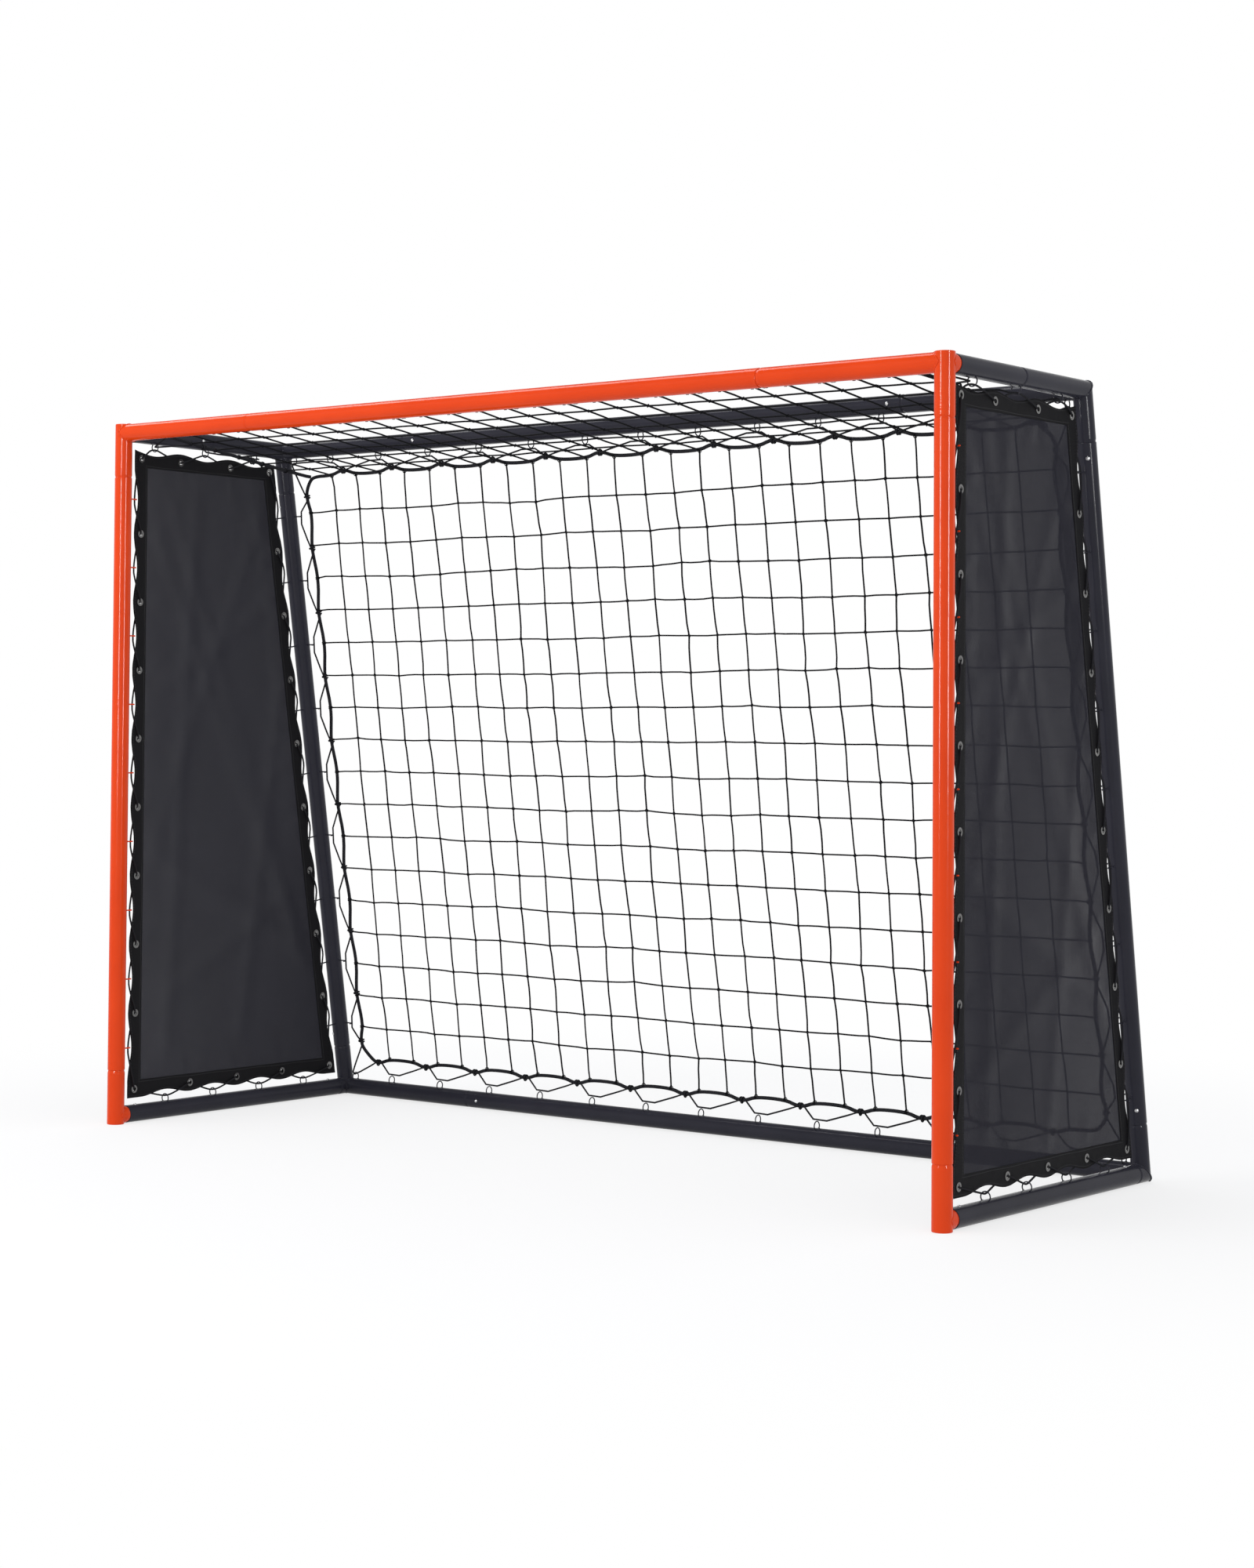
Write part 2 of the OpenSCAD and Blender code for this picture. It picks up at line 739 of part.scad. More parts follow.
// from the back along the left side, across the front and along the right side to the back
top_rope_route = concat(
  [[rope_corner / 2 - net_x, top_len, 0], [-net_x, top_len - rope_corner, 0]],
  [[-net_x, rope_behind + rope_corner, 0], [rope_corner - net_x, rope_behind, 0]],
  [for (k = [1:bar_spaces - 1]) each concat(
    [[bar_xs[k], rope_behind, 0]],
    pull([bar_xs[k] + quarter, pulled_front, 0], X),
    k == bar_spaces - 1 ? [] : [[bar_xs[k] + cell_w, rope_behind, 0]]
  )],
  [[net_x, rope_behind + rope_corner, 0], [net_x, top_len - rope_corner, 0]],
  [[net_x - rope_corner / 2, top_len, 0]]
);

// a side loop's passing point, in the top net's own plane
function side_loop_hold(side, back) =
  let (
    inwards = loop_r - side_loop_slack * loop_clear,
    p = [side * (half_w - inwards), back, -loop_mid]
  )
  [p.x, p * TOP_BACK, p * TOP_UP];

// midway between a side loop and the one before it
function wrap_back(i) = (top_loop_backs[i - 1] + top_loop_backs[i]) / 2;

// where the lacing crosses over a corner of the rope
over_rope = (rope_d + lace_d) / 2 + over_run;
function over_corner(side) =
  [side * (net_x - rope_corner / 2), rope_behind + rope_corner / 2, over_rope];

top_lacing_route = concat(
  [side_loop_hold(LEFT, top_loop_backs[top_loops - 1]) + end_run * Y],
  [for (i = [top_loops - 1:-1:0]) each concat(
    [side_loop_hold(LEFT, top_loop_backs[i])],
    i == 0 ? [side_loop_hold(LEFT, top_loop_backs[0]) - lead_run * Y] :
      wrap([-net_x, wrap_back(i), 0], -Y, -X)
  )],
  [over_corner(LEFT), [2 * rope_corner - net_x, rope_behind, over_rope]],
  [for (k = [1:bar_spaces - 1]) each concat(
    [[bar_xs[k], pin_pass, pin_side]],
    k == bar_spaces - 1 ? [] : wrap([bar_xs[k] + quarter, pulled_front, 0], X, -Y)
  )],
  [[net_x - quarter, pulled_front, over_rope], over_corner(RIGHT)],
  [for (i = [0:top_loops - 1]) each concat(
    i == 0 ? [side_loop_hold(RIGHT, top_loop_backs[0]) - lead_run * Y] :
      wrap_down([net_x, wrap_back(i), 0], Y, X),
    [side_loop_hold(RIGHT, top_loop_backs[i])]
  )],
  [side_loop_hold(RIGHT, top_loop_backs[top_loops - 1]) + end_run * Y]
);

// the same half turn the other way round, from above the plane to below it
function wrap_down(c, along, bar) = [
  for (a = [0, 60, 120, 180])
    c + wrap_half * (a / 90 - 1) * along - wrap_r * sin(a) * bar + wrap_r * cos(a) * Z
];

module top_net() {
  color(BLACK)
    top_plane()
      linear_extrude(string_d, center = true) {
        for (j = [2:2 * bar_spaces - 2])
          translate([j * cell_w - half_w - string_d / 2, rope_behind])
            square([string_d, top_len - rope_behind]);
        for (i = [1:top_rows - 1])
          translate([-net_x, rope_behind + i * row_d - string_d / 2])
            square([2 * net_x, string_d]);
      }
}

module top_net_rope() {
  color(BLACK) top_plane() cord(top_rope_route, rope_d, Z);
}

module top_net_lacing() {
  color(BLACK) top_plane() cord(top_lacing_route, lace_d, Z);
}

// ---------------------------------------------------------------- side panels

// the right panel in its own plane: x runs to the back, y up, z outwards. The sides go up the
// front post, back along the top, down the rear post and forward along the ground
PANEL_CORNERS = [
  [front_y, base_z], [front_y, top_z], [rear_top_y, top_z], [rear_base_y, base_z]
];
function panel_corner(i) = PANEL_CORNERS[i % 4];
function side_dir(i) = unit(panel_corner(i + 1) - panel_corner(i));
function side_in(i) = [side_dir(i).y, -side_dir(i).x];

// the pins and loops along each side, by their distance from its first corner
PANEL_HOLDS = [front_pin_ups, top_loop_backs, rear_pin_ups, base_loop_backs];

// the point that lies w inside both sides that meet at corner i
function inset(i, w) =
  let (m = side_in(i + 3), n = side_in(i), det = m.x * n.y - m.y * n.x)
  panel_corner(i) + w / det * [n.y - m.y, m.x - n.x];

function beside(i, along, w) = panel_corner(i) + along * side_dir(i) + w * side_in(i);

// the hem's edge draws back beside each pin or loop
function hem_depth(i, along) =
  let (
    holds = PANEL_HOLDS[i],
    near = min([for (h = holds) abs(h - along)]),
    half = (holds[1] - holds[0]) / 2
  )
  hem_edge + hem_scallop * pow(cos(90 * min(1, near / half)), 2);

hem_outline = [
  for (i = [0:3])
    let (
      first = inset(i, hem_edge),
      from = (first - panel_corner(i)) * side_dir(i),
      to = (inset(i + 1, hem_edge) - panel_corner(i)) * side_dir(i),
      n = 8 * (len(PANEL_HOLDS[i]) + 1)
    )
      each concat([first], [
        for (j = [1:n - 1])
          let (along = from + (to - from) * j / n) beside(i, along, hem_depth(i, along))
      ])
];

panel_grommets_2d = [
  for (i = [0:3]) each concat(
    [inset(i, grommet_mid)],
    [for (j = [1:len(PANEL_HOLDS[i]) - 1])
      beside(i, (PANEL_HOLDS[i][j - 1] + PANEL_HOLDS[i][j]) / 2, grommet_mid)]
  )
];

barrel_d = grommet_hole + 2 * grommet_t;

module panel_hem() {
  difference() {
    linear_extrude(hem_t, center = true)
      difference() {
        polygon(hem_outline);
        polygon([for (i = [0:3]) inset(i, hem_inner)]);
      }
    linear_extrude(sheet_t + 2 * fit_gap, center = true)
      polygon([for (i = [0:3]) inset(i, sheet_edge - fit_gap)]);
    for (g = panel_grommets_2d)
      translate([g.x, g.y, -hem_t])
        cylinder(h = 2 * hem_t, d = barrel_d + 2 * fit_gap);
  }
}

module panel_sheet() {
  linear_extrude(sheet_t, center = true)
    polygon([for (i = [0:3]) inset(i, sheet_edge)]);
}

// a two-part eyelet: a barrel with a rim on each face of the hem
module grommet() {
  face = hem_t / 2 + fit_gap;
  rotate_extrude()
    polygon([
      [grommet_hole / 2, -face - grommet_t], [grommet_d / 2, -face - grommet_t],
      [grommet_d / 2, -face], [barrel_d / 2, -face], [barrel_d / 2, face],
      [grommet_d / 2, face], [grommet_d / 2, face + grommet_t],
      [grommet_hole / 2, face + grommet_t]
    ]);
}

module panel_set_of_grommets() {
  for (g = panel_grommets_2d)
    translate([g.x, g.y, 0]) grommet();
}

// the cord goes down through a grommet from the outer face to the inner one
function through(g, d) = [
  at_side(g - grommet_run * d, rim_side), at_side(g + grommet_run * d, -rim_side)
];

function at_side(p, side) = [p.x, p.y, side];

// past a pin: up to it on the inner face, then over it
function pin_points(i, along) = [
  at_side(beside(i, along - pin_run, pin_pass), -face_side),
  at_side(beside(i, along, pin_pass), pin_side)
];

// through a loop: from the inner face of the hem to its outer face
function loop_points(i, along) = [
  at_side(beside(i, along - loop_run.x, loop_pass + loop_run.y), -face_side),
  at_side(beside(i, along, loop_pass), 0),
  at_side(beside(i, along + loop_run.x, loop_pass + loop_run.y), face_side)
];

panel_lacing_route = [
  for (i = [0:3]) each concat(
    through(inset(i, grommet_mid), unit(side_dir(i + 3) + side_dir(i))),
    [for (j = [0:len(PANEL_HOLDS[i]) - 1])
      let (along = PANEL_HOLDS[i][j], after = PANEL_HOLDS[i][j + 1])
        each concat(
          i % 2 == 0 ? pin_points(i, along) : loop_points(i, along),
          after == undef ? [] :
            through(beside(i, (along + after) / 2, grommet_mid), side_dir(i))
        )]
  )
];

module right_panel_hem() {
  color(BLACK) right_panel_plane() panel_hem();
}

module left_panel_hem() {
  left_of_right() right_panel_hem();
}

module right_panel_sheet() {
  color(FABRIC) right_panel_plane() panel_sheet();
}

module left_panel_sheet() {
  left_of_right() right_panel_sheet();
}

module panel_grommets() {
  color(STEEL) {
    right_panel_plane() panel_set_of_grommets();
    left_of_right() right_panel_plane() panel_set_of_grommets();
  }
}

module right_panel_lacing() {
  color(BLACK) right_panel_plane() cord(panel_lacing_route, lace_d, Z, closed = true);
}

module left_panel_lacing() {
  left_of_right() right_panel_lacing();
}

// ---------------------------------------------------------------- the goal

module crossbar_middle() {
  color(ORANGE) straight_tube(crossbar_seam(LEFT), crossbar_seam(RIGHT));
}

module front_post(side) {
  color(ORANGE) straight_tube(front_upper_seam(side), front_lower_seam(side));
}

module rear_top_bar_middle() {
  color(CHARCOAL) straight_tube(rear_top_seam(LEFT), rear_top_seam(RIGHT));
}

module rear_post(side) {
  color(CHARCOAL) straight_tube(rear_upper_seam(side), rear_lower_seam(side));
}

module rear_ground_bar_middle() {
  color(CHARCOAL) straight_tube(ground_seam(LEFT), ground_seam(RIGHT));
}

module top_side_bar(side) {
  color(CHARCOAL) straight_tube(top_front_seam(side), top_rear_seam(side));
}

module base_side_bar(side) {
  color(CHARCOAL) straight_tube(base_front_seam(side), base_rear_seam(side));
}

crossbar_middle();
front_top_corner(LEFT);  // front_left_top_corner
front_top_corner(RIGHT);  // front_right_top_corner
front_post(LEFT);  // left_front_post
front_post(RIGHT);  // right_front_post
front_foot_corner(LEFT);  // front_left_foot_corner
front_foot_corner(RIGHT);  // front_right_foot_corner
rear_top_bar_middle();
rear_top_corner(LEFT);  // rear_left_top_corner
rear_top_corner(RIGHT);  // rear_right_top_corner
rear_post(LEFT);  // left_rear_post
rear_post(RIGHT);  // right_rear_post
rear_foot_corner(LEFT);  // rear_left_foot_corner
rear_foot_corner(RIGHT);  // rear_right_foot_corner
rear_ground_bar_middle();
top_side_bar(LEFT);  // left_top_side_bar
top_side_bar(RIGHT);  // right_top_side_bar
base_side_bar(LEFT);  // left_base_side_bar
base_side_bar(RIGHT);  // right_base_side_bar
post_caps();
button_springs();
snap_button(crossbar_seam(LEFT));  // crossbar_left_button
snap_button(crossbar_seam(RIGHT));  // crossbar_right_button
snap_button(front_upper_seam(LEFT));  // left_front_post_upper_button
snap_button(front_upper_seam(RIGHT));  // right_front_post_upper_button
snap_button(front_lower_seam(LEFT));  // left_front_post_lower_button
snap_button(front_lower_seam(RIGHT));  // right_front_post_lower_button
snap_button(top_front_seam(LEFT));  // left_top_bar_front_button
snap_button(top_front_seam(RIGHT));  // right_top_bar_front_button
snap_button(top_rear_seam(LEFT));  // left_top_bar_rear_button
snap_button(top_rear_seam(RIGHT));  // right_top_bar_rear_button
snap_button(rear_top_seam(LEFT));  // rear_top_bar_left_button
snap_button(rear_top_seam(RIGHT));  // rear_top_bar_right_button
snap_button(rear_upper_seam(LEFT));  // left_rear_post_upper_button
snap_button(rear_upper_seam(RIGHT));  // right_rear_post_upper_button
snap_button(rear_lower_seam(LEFT));  // left_rear_post_lower_button
snap_button(rear_lower_seam(RIGHT));  // right_rear_post_lower_button
snap_button(base_front_seam(LEFT));  // left_base_bar_front_button
snap_button(base_front_seam(RIGHT));  // right_base_bar_front_button
snap_button(base_rear_seam(LEFT));  // left_base_bar_rear_button
snap_button(base_rear_seam(RIGHT));  // right_base_bar_rear_button
snap_button(ground_seam(LEFT));  // rear_ground_bar_left_button
snap_button(ground_seam(RIGHT));  // rear_ground_bar_right_button
front_pins();
rear_post_pins();
rear_bar_loops();
side_bar_loops();
back_net();
back_net_rope();
back_net_lacing();
top_net();
top_net_rope();
top_net_lacing();
left_panel_sheet();
right_panel_sheet();
left_panel_hem();
right_panel_hem();
panel_grommets();
left_panel_lacing();
right_panel_lacing();
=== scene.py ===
import json
import math

import bpy
import numpy as np
from mathutils import Matrix, Vector


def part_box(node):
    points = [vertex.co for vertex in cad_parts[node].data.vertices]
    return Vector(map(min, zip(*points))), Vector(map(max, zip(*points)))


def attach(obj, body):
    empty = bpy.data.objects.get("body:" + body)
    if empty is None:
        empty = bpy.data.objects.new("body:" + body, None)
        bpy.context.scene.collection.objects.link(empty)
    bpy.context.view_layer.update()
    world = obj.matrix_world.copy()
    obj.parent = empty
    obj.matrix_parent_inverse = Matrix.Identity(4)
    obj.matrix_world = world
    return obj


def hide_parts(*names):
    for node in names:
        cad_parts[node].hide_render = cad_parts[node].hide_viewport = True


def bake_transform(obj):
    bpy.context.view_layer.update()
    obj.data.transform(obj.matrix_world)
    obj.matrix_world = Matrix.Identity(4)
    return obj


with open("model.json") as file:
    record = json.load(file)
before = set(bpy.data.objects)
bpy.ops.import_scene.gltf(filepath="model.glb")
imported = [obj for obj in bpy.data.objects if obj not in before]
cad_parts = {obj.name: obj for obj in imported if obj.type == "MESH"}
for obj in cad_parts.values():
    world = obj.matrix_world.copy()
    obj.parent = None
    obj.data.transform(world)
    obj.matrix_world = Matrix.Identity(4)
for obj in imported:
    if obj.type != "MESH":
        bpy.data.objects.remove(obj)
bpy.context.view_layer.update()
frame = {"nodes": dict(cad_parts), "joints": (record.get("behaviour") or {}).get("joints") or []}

# ---------------- camera
# It stands in front of the mouth and well to the right, at chest height, and looks almost level
# across the goal at the far rear corner. Its shift places the goal in the upright picture.
STAND = (4.72068, -6.13224, 1.10128)
YAW, PITCH, ROLL = 0.67753, 0.03163, 0.00774
FOCAL_PX, CENTRE_X, CENTRE_Y = 3688.84, 686.966, 823.396
FRAME_W, FRAME_H, SENSOR = 1600, 2000, 36


def in_scene(name, data):
    """A new object of the scene, at the origin."""
    made = bpy.data.objects.new(name, data)
    bpy.context.scene.collection.objects.link(made)
    return made


ahead = Vector((-math.sin(YAW) * math.cos(PITCH), math.cos(YAW) * math.cos(PITCH),
                math.sin(PITCH)))
level = Vector((math.cos(YAW), math.sin(YAW), 0))
above = level.cross(ahead)
right = math.cos(ROLL) * level + math.sin(ROLL) * above
upward = -math.sin(ROLL) * level + math.cos(ROLL) * above
camera_data = bpy.data.cameras.new("view_of_goal")
camera_data.sensor_fit = "AUTO"
camera_data.sensor_width = SENSOR
camera_data.lens = FOCAL_PX * SENSOR / FRAME_H
camera_data.shift_x = (FRAME_W / 2 - CENTRE_X) / FRAME_H
camera_data.shift_y = (CENTRE_Y - FRAME_H / 2) / FRAME_H
camera_data.clip_end = 200
camera = in_scene("view_of_goal", camera_data)
camera.matrix_world = Matrix.Translation(STAND) @ Matrix(
    (right, upward, -ahead)).transposed().to_4x4()
bpy.context.scene.camera = camera
bpy.context.scene.view_settings.view_transform = "Standard"


# ---------------- studio
# A white sweep of floor under a plain white room. Only the camera and reflections see the room
# as full white, and the floor near the goal stays matt paint, so that it keeps a soft shadow.
class Wire:
    """One output socket of a node tree. Arithmetic on it adds Math nodes to the tree."""

    def __init__(self, socket):
        self.socket = socket

    def __getitem__(self, name):
        return Wire(self.socket.node.outputs[name])

    def maths(self, operation, other=None, swapped=False):
        pair = {0: self} if other is None else {0: self, 1: other}
        if swapped:
            pair = {0: other, 1: self}
        return add_node(self.socket.id_data, "ShaderNodeMath", {"operation": operation}, pair)

    def __add__(self, other):
        return self.maths("ADD", other)

    def __sub__(self, other):
        return self.maths("SUBTRACT", other)

    def __rsub__(self, other):
        return self.maths("SUBTRACT", other, True)

    def __mul__(self, other):
        return self.maths("MULTIPLY", other)

    def __truediv__(self, other):
        return self.maths("DIVIDE", other)

    def __rtruediv__(self, other):
        return self.maths("DIVIDE", other, True)

    __radd__ = __add__
    __rmul__ = __mul__


def feed(tree, socket, value):
    """Links a wire to a socket, or sets the socket's value."""
    if isinstance(value, Wire):
        tree.links.new(value.socket, socket)
    else:
        socket.default_value = value


def add_node(tree, kind, settings=None, sockets=None):
    """Adds a node: its settings first, then the values or links of its sockets."""
    made = tree.nodes.new(kind)
    for name, value in (settings or {}).items():
        setattr(made, name, value)
    for name, value in (sockets or {}).items():
        feed(tree, made.inputs[name], value)
    return Wire(next(s for s in made.outputs if s.enabled)) if made.outputs else made


def rgb(red, green, blue):
    return (red, green, blue, 1)


def bare_tree(owner):
    """The node tree of a material or a world, emptied, and which of its rays show the studio:
    those of the camera, of reflections and of what is seen through a clear piece."""
    owner.use_nodes = True
    owner.node_tree.nodes.clear()
    ray = add_node(owner.node_tree, "ShaderNodeLightPath")
    return owner.node_tree, ray["Is Camera Ray"].maths("MAXIMUM", ray["Is Glossy Ray"]).maths(
        "MAXIMUM", ray["Is Transmission Ray"])


def eased_range(tree, value, start, end, first, last):
    """A value that goes smoothly from first to last as another goes from start to end."""
    return add_node(tree, "ShaderNodeMapRange", {"interpolation_type": "SMOOTHSTEP"}, {
        "Value": value, "From Min": start, "From Max": end, "To Min": first, "To Max": last})


def new_mesh(name, points, faces, edges=()):
    mesh = bpy.data.meshes.new(name)
    mesh.from_pydata(np.asarray(points, float).tolist(), edges, faces)
    return mesh


FLOOR = 60
WHITE = rgb(1, 1, 1)
paint = bpy.data.materials.new("studio_floor_paint")
tree, seen = bare_tree(paint)
place = add_node(tree, "ShaderNodeTexCoord")["Object"]
away = add_node(tree, "ShaderNodeVectorMath", {"operation": "LENGTH"}, {0: place})["Value"]
glow = add_node(tree, "ShaderNodeEmission", {}, {"Color": WHITE, "Strength": 1.0})
matt = add_node(tree, "ShaderNodeBsdfDiffuse", {}, {"Color": rgb(0.9, 0.9, 0.9)})
both = add_node(tree, "ShaderNodeMixShader", {}, {
    0: seen * eased_range(tree, away, 1.6, 3.4, 0.72, 1.0), 1: matt, 2: glow})
add_node(tree, "ShaderNodeOutputMaterial", {}, {"Surface": both})
floor = in_scene("studio_floor", new_mesh("studio_floor", [
    (-FLOOR, -FLOOR, 0), (FLOOR, -FLOOR, 0), (FLOOR, FLOOR, 0), (-FLOOR, FLOOR, 0)],
    [(0, 1, 2, 3)]))
floor.data.materials.append(paint)

room = bpy.data.worlds.new("studio_room")
bpy.context.scene.world = room
tree, seen = bare_tree(room)
dim = add_node(tree, "ShaderNodeBackground", {}, {
    "Color": rgb(0.95, 0.965, 1.0), "Strength": 0.95})
way = add_node(tree, "ShaderNodeTexCoord")["Generated"]
rise = add_node(tree, "ShaderNodeSeparateXYZ", {}, {0: way})["Z"]
white = add_node(tree, "ShaderNodeBackground", {}, {
    "Color": WHITE, "Strength": eased_range(tree, rise, 0.3, 0.7, 1.0, 0.25)})
both = add_node(tree, "ShaderNodeMixShader", {}, {0: seen, 1: dim, 2: white})
add_node(tree, "ShaderNodeOutputWorld", {}, {"Surface": both})

# A wide lamp overhead, kept out of reflections, lights it all. The others show in reflections
# alone: a long one above as the line along the bars, two tall ones as lines down the posts.
for name, place, aim, size, watts in (
    ("overhead_lamp", (-1.8, -4.4, 4.4), (0.0, 0, 0.8), (5.0, 3.0), 112),
    ("bar_strip", (-2.4, -0.2, 5.2), (-2.4, -0.2, 0), (6.5, 1.5), 190),
    ("front_strip", (0.15, -5.35, 2.0), (0, 0, 1.9), (0.35, 2.1), 230),
    ("right_strip", (8.3, -1.75, 2.1), (0.4, -0.3, 1.9), (0.5, 2.3), 380),
):
    lamp = bpy.data.lights.new(name, "AREA")
    lamp.shape, lamp.size, lamp.size_y, lamp.energy = "RECTANGLE", *size, watts
    hung = in_scene(name, lamp)
    hung.location = place
    hung.rotation_euler = (Vector(aim) - Vector(place)).to_track_quat("-Z", "Y").to_euler()
    hung.visible_camera = False
    hung.visible_glossy = name != "overhead_lamp"
    hung.visible_diffuse = name == "overhead_lamp"


# ---------------- front frame
# The posts and the crossbar: round steel tube in glossy orange powder paint, cut square, welded
# at the corners and plugged together. The paint has a faint orange-peel skin.
def new_finish(name, metallic=0.0, specular=0.5):
    """A material, its tree and a function that sets or links the shader's sockets."""
    made = bpy.data.materials.new(name)
    made.use_nodes = True
    shader = made.node_tree.nodes["Principled BSDF"]
    shader.inputs["Metallic"].default_value = metallic
    shader.inputs["Specular IOR Level"].default_value = specular

    def set_sockets(**values):
        for socket, value in values.items():
            feed(made.node_tree, shader.inputs[socket.replace("_", " ")], value)

    return made, made.node_tree, set_sockets


def grain(tree, scale, detail=2.0, stretch=(1, 1, 1)):
    """Noise over the object, with its scale per metre and a stretch along each axis."""
    place = add_node(tree, "ShaderNodeTexCoord")["Object"]
    if stretch != (1, 1, 1):
        place = add_node(tree, "ShaderNodeMapping", {}, {"Vector": place, "Scale": stretch})
    return add_node(tree, "ShaderNodeTexNoise", {}, {
        "Vector": place, "Scale": scale, "Detail": detail})


def mixed(tree, amount, first, second):
    """A colour between two, by an amount from 0 to 1."""
    made = tree.nodes.new("ShaderNodeMix")
    made.data_type = "RGBA"
    for index, value in ((0, amount), (6, first), (7, second)):
        feed(tree, made.inputs[index], value)
    return Wire(made.outputs[2])


def bumped(tree, height, distance):
    """A bump from a height between 0 and 1 and its depth in metres."""
    return add_node(tree, "ShaderNodeBump", {}, {"Height": height, "Distance": distance})


def finished(finish, *nodes):
    """Gives CAD nodes a finish."""
    for node in nodes:
        frame["nodes"][node].data.materials.clear()
        frame["nodes"][node].data.materials.append(finish)


orange_paint, tree, sockets = new_finish("orange_powder_paint", specular=0.13)
sockets(
    Base_Color=mixed(tree, grain(tree, 5.0), rgb(0.66, 0.046, 0.005), rgb(0.78, 0.064, 0.008)),
    Roughness=0.08 + 0.12 * grain(tree, 60.0, 3.0),
    Normal=bumped(tree, grain(tree, 260.0, 1.0), 0.00003),
)
finished(
    orange_paint, "crossbar_middle", "front_left_top_corner", "front_right_top_corner",
    "left_front_post", "right_front_post", "front_left_foot_corner", "front_right_foot_corner")

# ---------------- post caps
# Injection-moulded caps pressed into the open ends of the posts, in the paint's colour but with
# the finer, duller grain of nylon.
cap_nylon, tree, sockets = new_finish("orange_nylon", specular=0.25)
sockets(
    Base_Color=mixed(tree, grain(tree, 30.0), rgb(0.58, 0.034, 0.006), rgb(0.68, 0.047, 0.01)),
    Roughness=0.42 + 0.1 * grain(tree, 200.0),
    Normal=bumped(tree, grain(tree, 1400.0, 1.0), 0.0001),
)
finished(cap_nylon, "post_caps")

# ---------------- rear frame
# The same tube in charcoal powder paint: rear posts, top, ground and side bars and their welded
# corners. The paint is satin and a little blue.
charcoal_paint, tree, sockets = new_finish("charcoal_powder_paint", specular=0.09)
sockets(
    Base_Color=mixed(tree, grain(tree, 7.0),
                     rgb(0.021, 0.021, 0.028), rgb(0.034, 0.0335, 0.045)),
    Roughness=0.12 + 0.12 * grain(tree, 45.0, 3.0),
    Normal=bumped(tree, grain(tree, 420.0, 1.0), 0.00007),
)
finished(
    charcoal_paint, "rear_top_bar_middle", "rear_left_top_corner", "rear_right_top_corner",
    "left_rear_post", "right_rear_post", "rear_left_foot_corner", "rear_right_foot_corner",
    "rear_ground_bar_middle", "left_top_side_bar", "right_top_side_bar", "left_base_side_bar",
    "right_base_side_bar")

# ---------------- snap buttons
# Turned steel buttons, one at each seam, which click out through the tube when it is pushed home
# and are pressed in to take it apart. The domes are polished by use.
button_steel, tree, sockets = new_finish("zinc_plated_steel", metallic=1.0)
sockets(
    Base_Color=mixed(tree, grain(tree, 90.0), rgb(0.45, 0.45, 0.46), rgb(0.62, 0.62, 0.63)),
    Roughness=0.2 + 0.2 * grain(tree, 300.0, 3.0, stretch=(1, 1, 6)),
    Normal=bumped(tree, grain(tree, 900.0, 1.0, stretch=(1, 1, 8)), 0.00004),
)
finished(button_steel, *[joint["child"] for joint in frame["joints"]])

# ---------------- leaf springs
# A V of the same steel lies in each spigot, split off as one piece for each button.
LEAF_T = 0.0009
springs = frame["nodes"]["button_springs"].data
leaf_points, merged = np.unique(
    np.round([v.co for v in springs.vertices], 6), axis=0, return_inverse=True)
leaf_faces = merged.reshape(-1)[np.array([face.vertices[:] for face in springs.polygons])]
button_centres = np.array([np.mean(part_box(joint["child"]), axis=0) for joint in frame["joints"]])
apart = np.linalg.norm(leaf_points[leaf_faces].mean(1)[:, None] - button_centres[None], axis=2)
nearest = np.argmin(apart, axis=1)
for number, (joint, centre) in enumerate(zip(frame["joints"], button_centres)):
    used, faces = np.unique(leaf_faces[nearest == number], return_inverse=True)
    name = f"{joint['child']}_spring"
    leaf = in_scene(name, new_mesh(name, leaf_points[used], faces.reshape(-1, 3).tolist()))
    leaf.data.materials.append(button_steel)
    out = -np.array(joint["axis"], float)
    bend = leaf_points[used][np.argmax(np.linalg.norm(leaf_points[used] - centre, axis=1))]
    rise = float(np.max((leaf_points[used] - bend) @ out)) - LEAF_T
    tuple(bend + rise * out)
    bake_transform(leaf)
    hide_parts("button_springs")

# ---------------- welds at the corners
# Where a tube is welded to another, a narrow rippled bead of weld runs round the joint under the
# paint. Each bead follows the line where the two tubes really meet.
TUBE_R = 0.0243
HALF_W = 1.3472
FRONT_Y, REAR_TOP_Y, REAR_BASE_Y = -0.480, 0.168, 0.480
BASE_Z, TOP_Z = 0.0243, 1.9567
X, Y, Z = np.eye(3)
LEAN = math.atan2(REAR_BASE_Y - REAR_TOP_Y, TOP_Z - BASE_Z)
BACK_UP = np.array([0, -math.sin(LEAN), math.cos(LEAN)])
BACK_OUT = np.array([0, -math.cos(LEAN), -math.sin(LEAN)])
WELD_R, WELD_LINE_R, WELD_REACH = 0.0021, TUBE_R - 0.0002, 0.06
ROUND = np.linspace(0, 2 * math.pi, 72, endpoint=False)


def unit(v):
    return v / np.linalg.norm(v, axis=-1, keepdims=True)


def square_to(v, first, second):
    """A direction square to v and to first, or to second where v lies close to first."""
    return unit(np.cross(v, first if abs(v @ first) < 0.9 else second))


def ways(steps):
    """The way of each step, and none for a step that goes nowhere."""
    return unit(steps + 1e-12) * (np.linalg.norm(steps, axis=1) > 1e-9)[:, None]


def mapped(name, points, faces, finish, layer, uvs):
    """A smooth object in one finish, with a UV map that holds a pair for each face's corner."""
    mesh = new_mesh(name, points, faces)
    mesh.uv_layers.new(name=layer).data.foreach_set("uv", np.asarray(uvs, float).ravel())
    mesh.polygons.foreach_set("use_smooth", [True] * len(mesh.polygons))
    mesh.materials.append(finish)
    return in_scene(name, mesh)


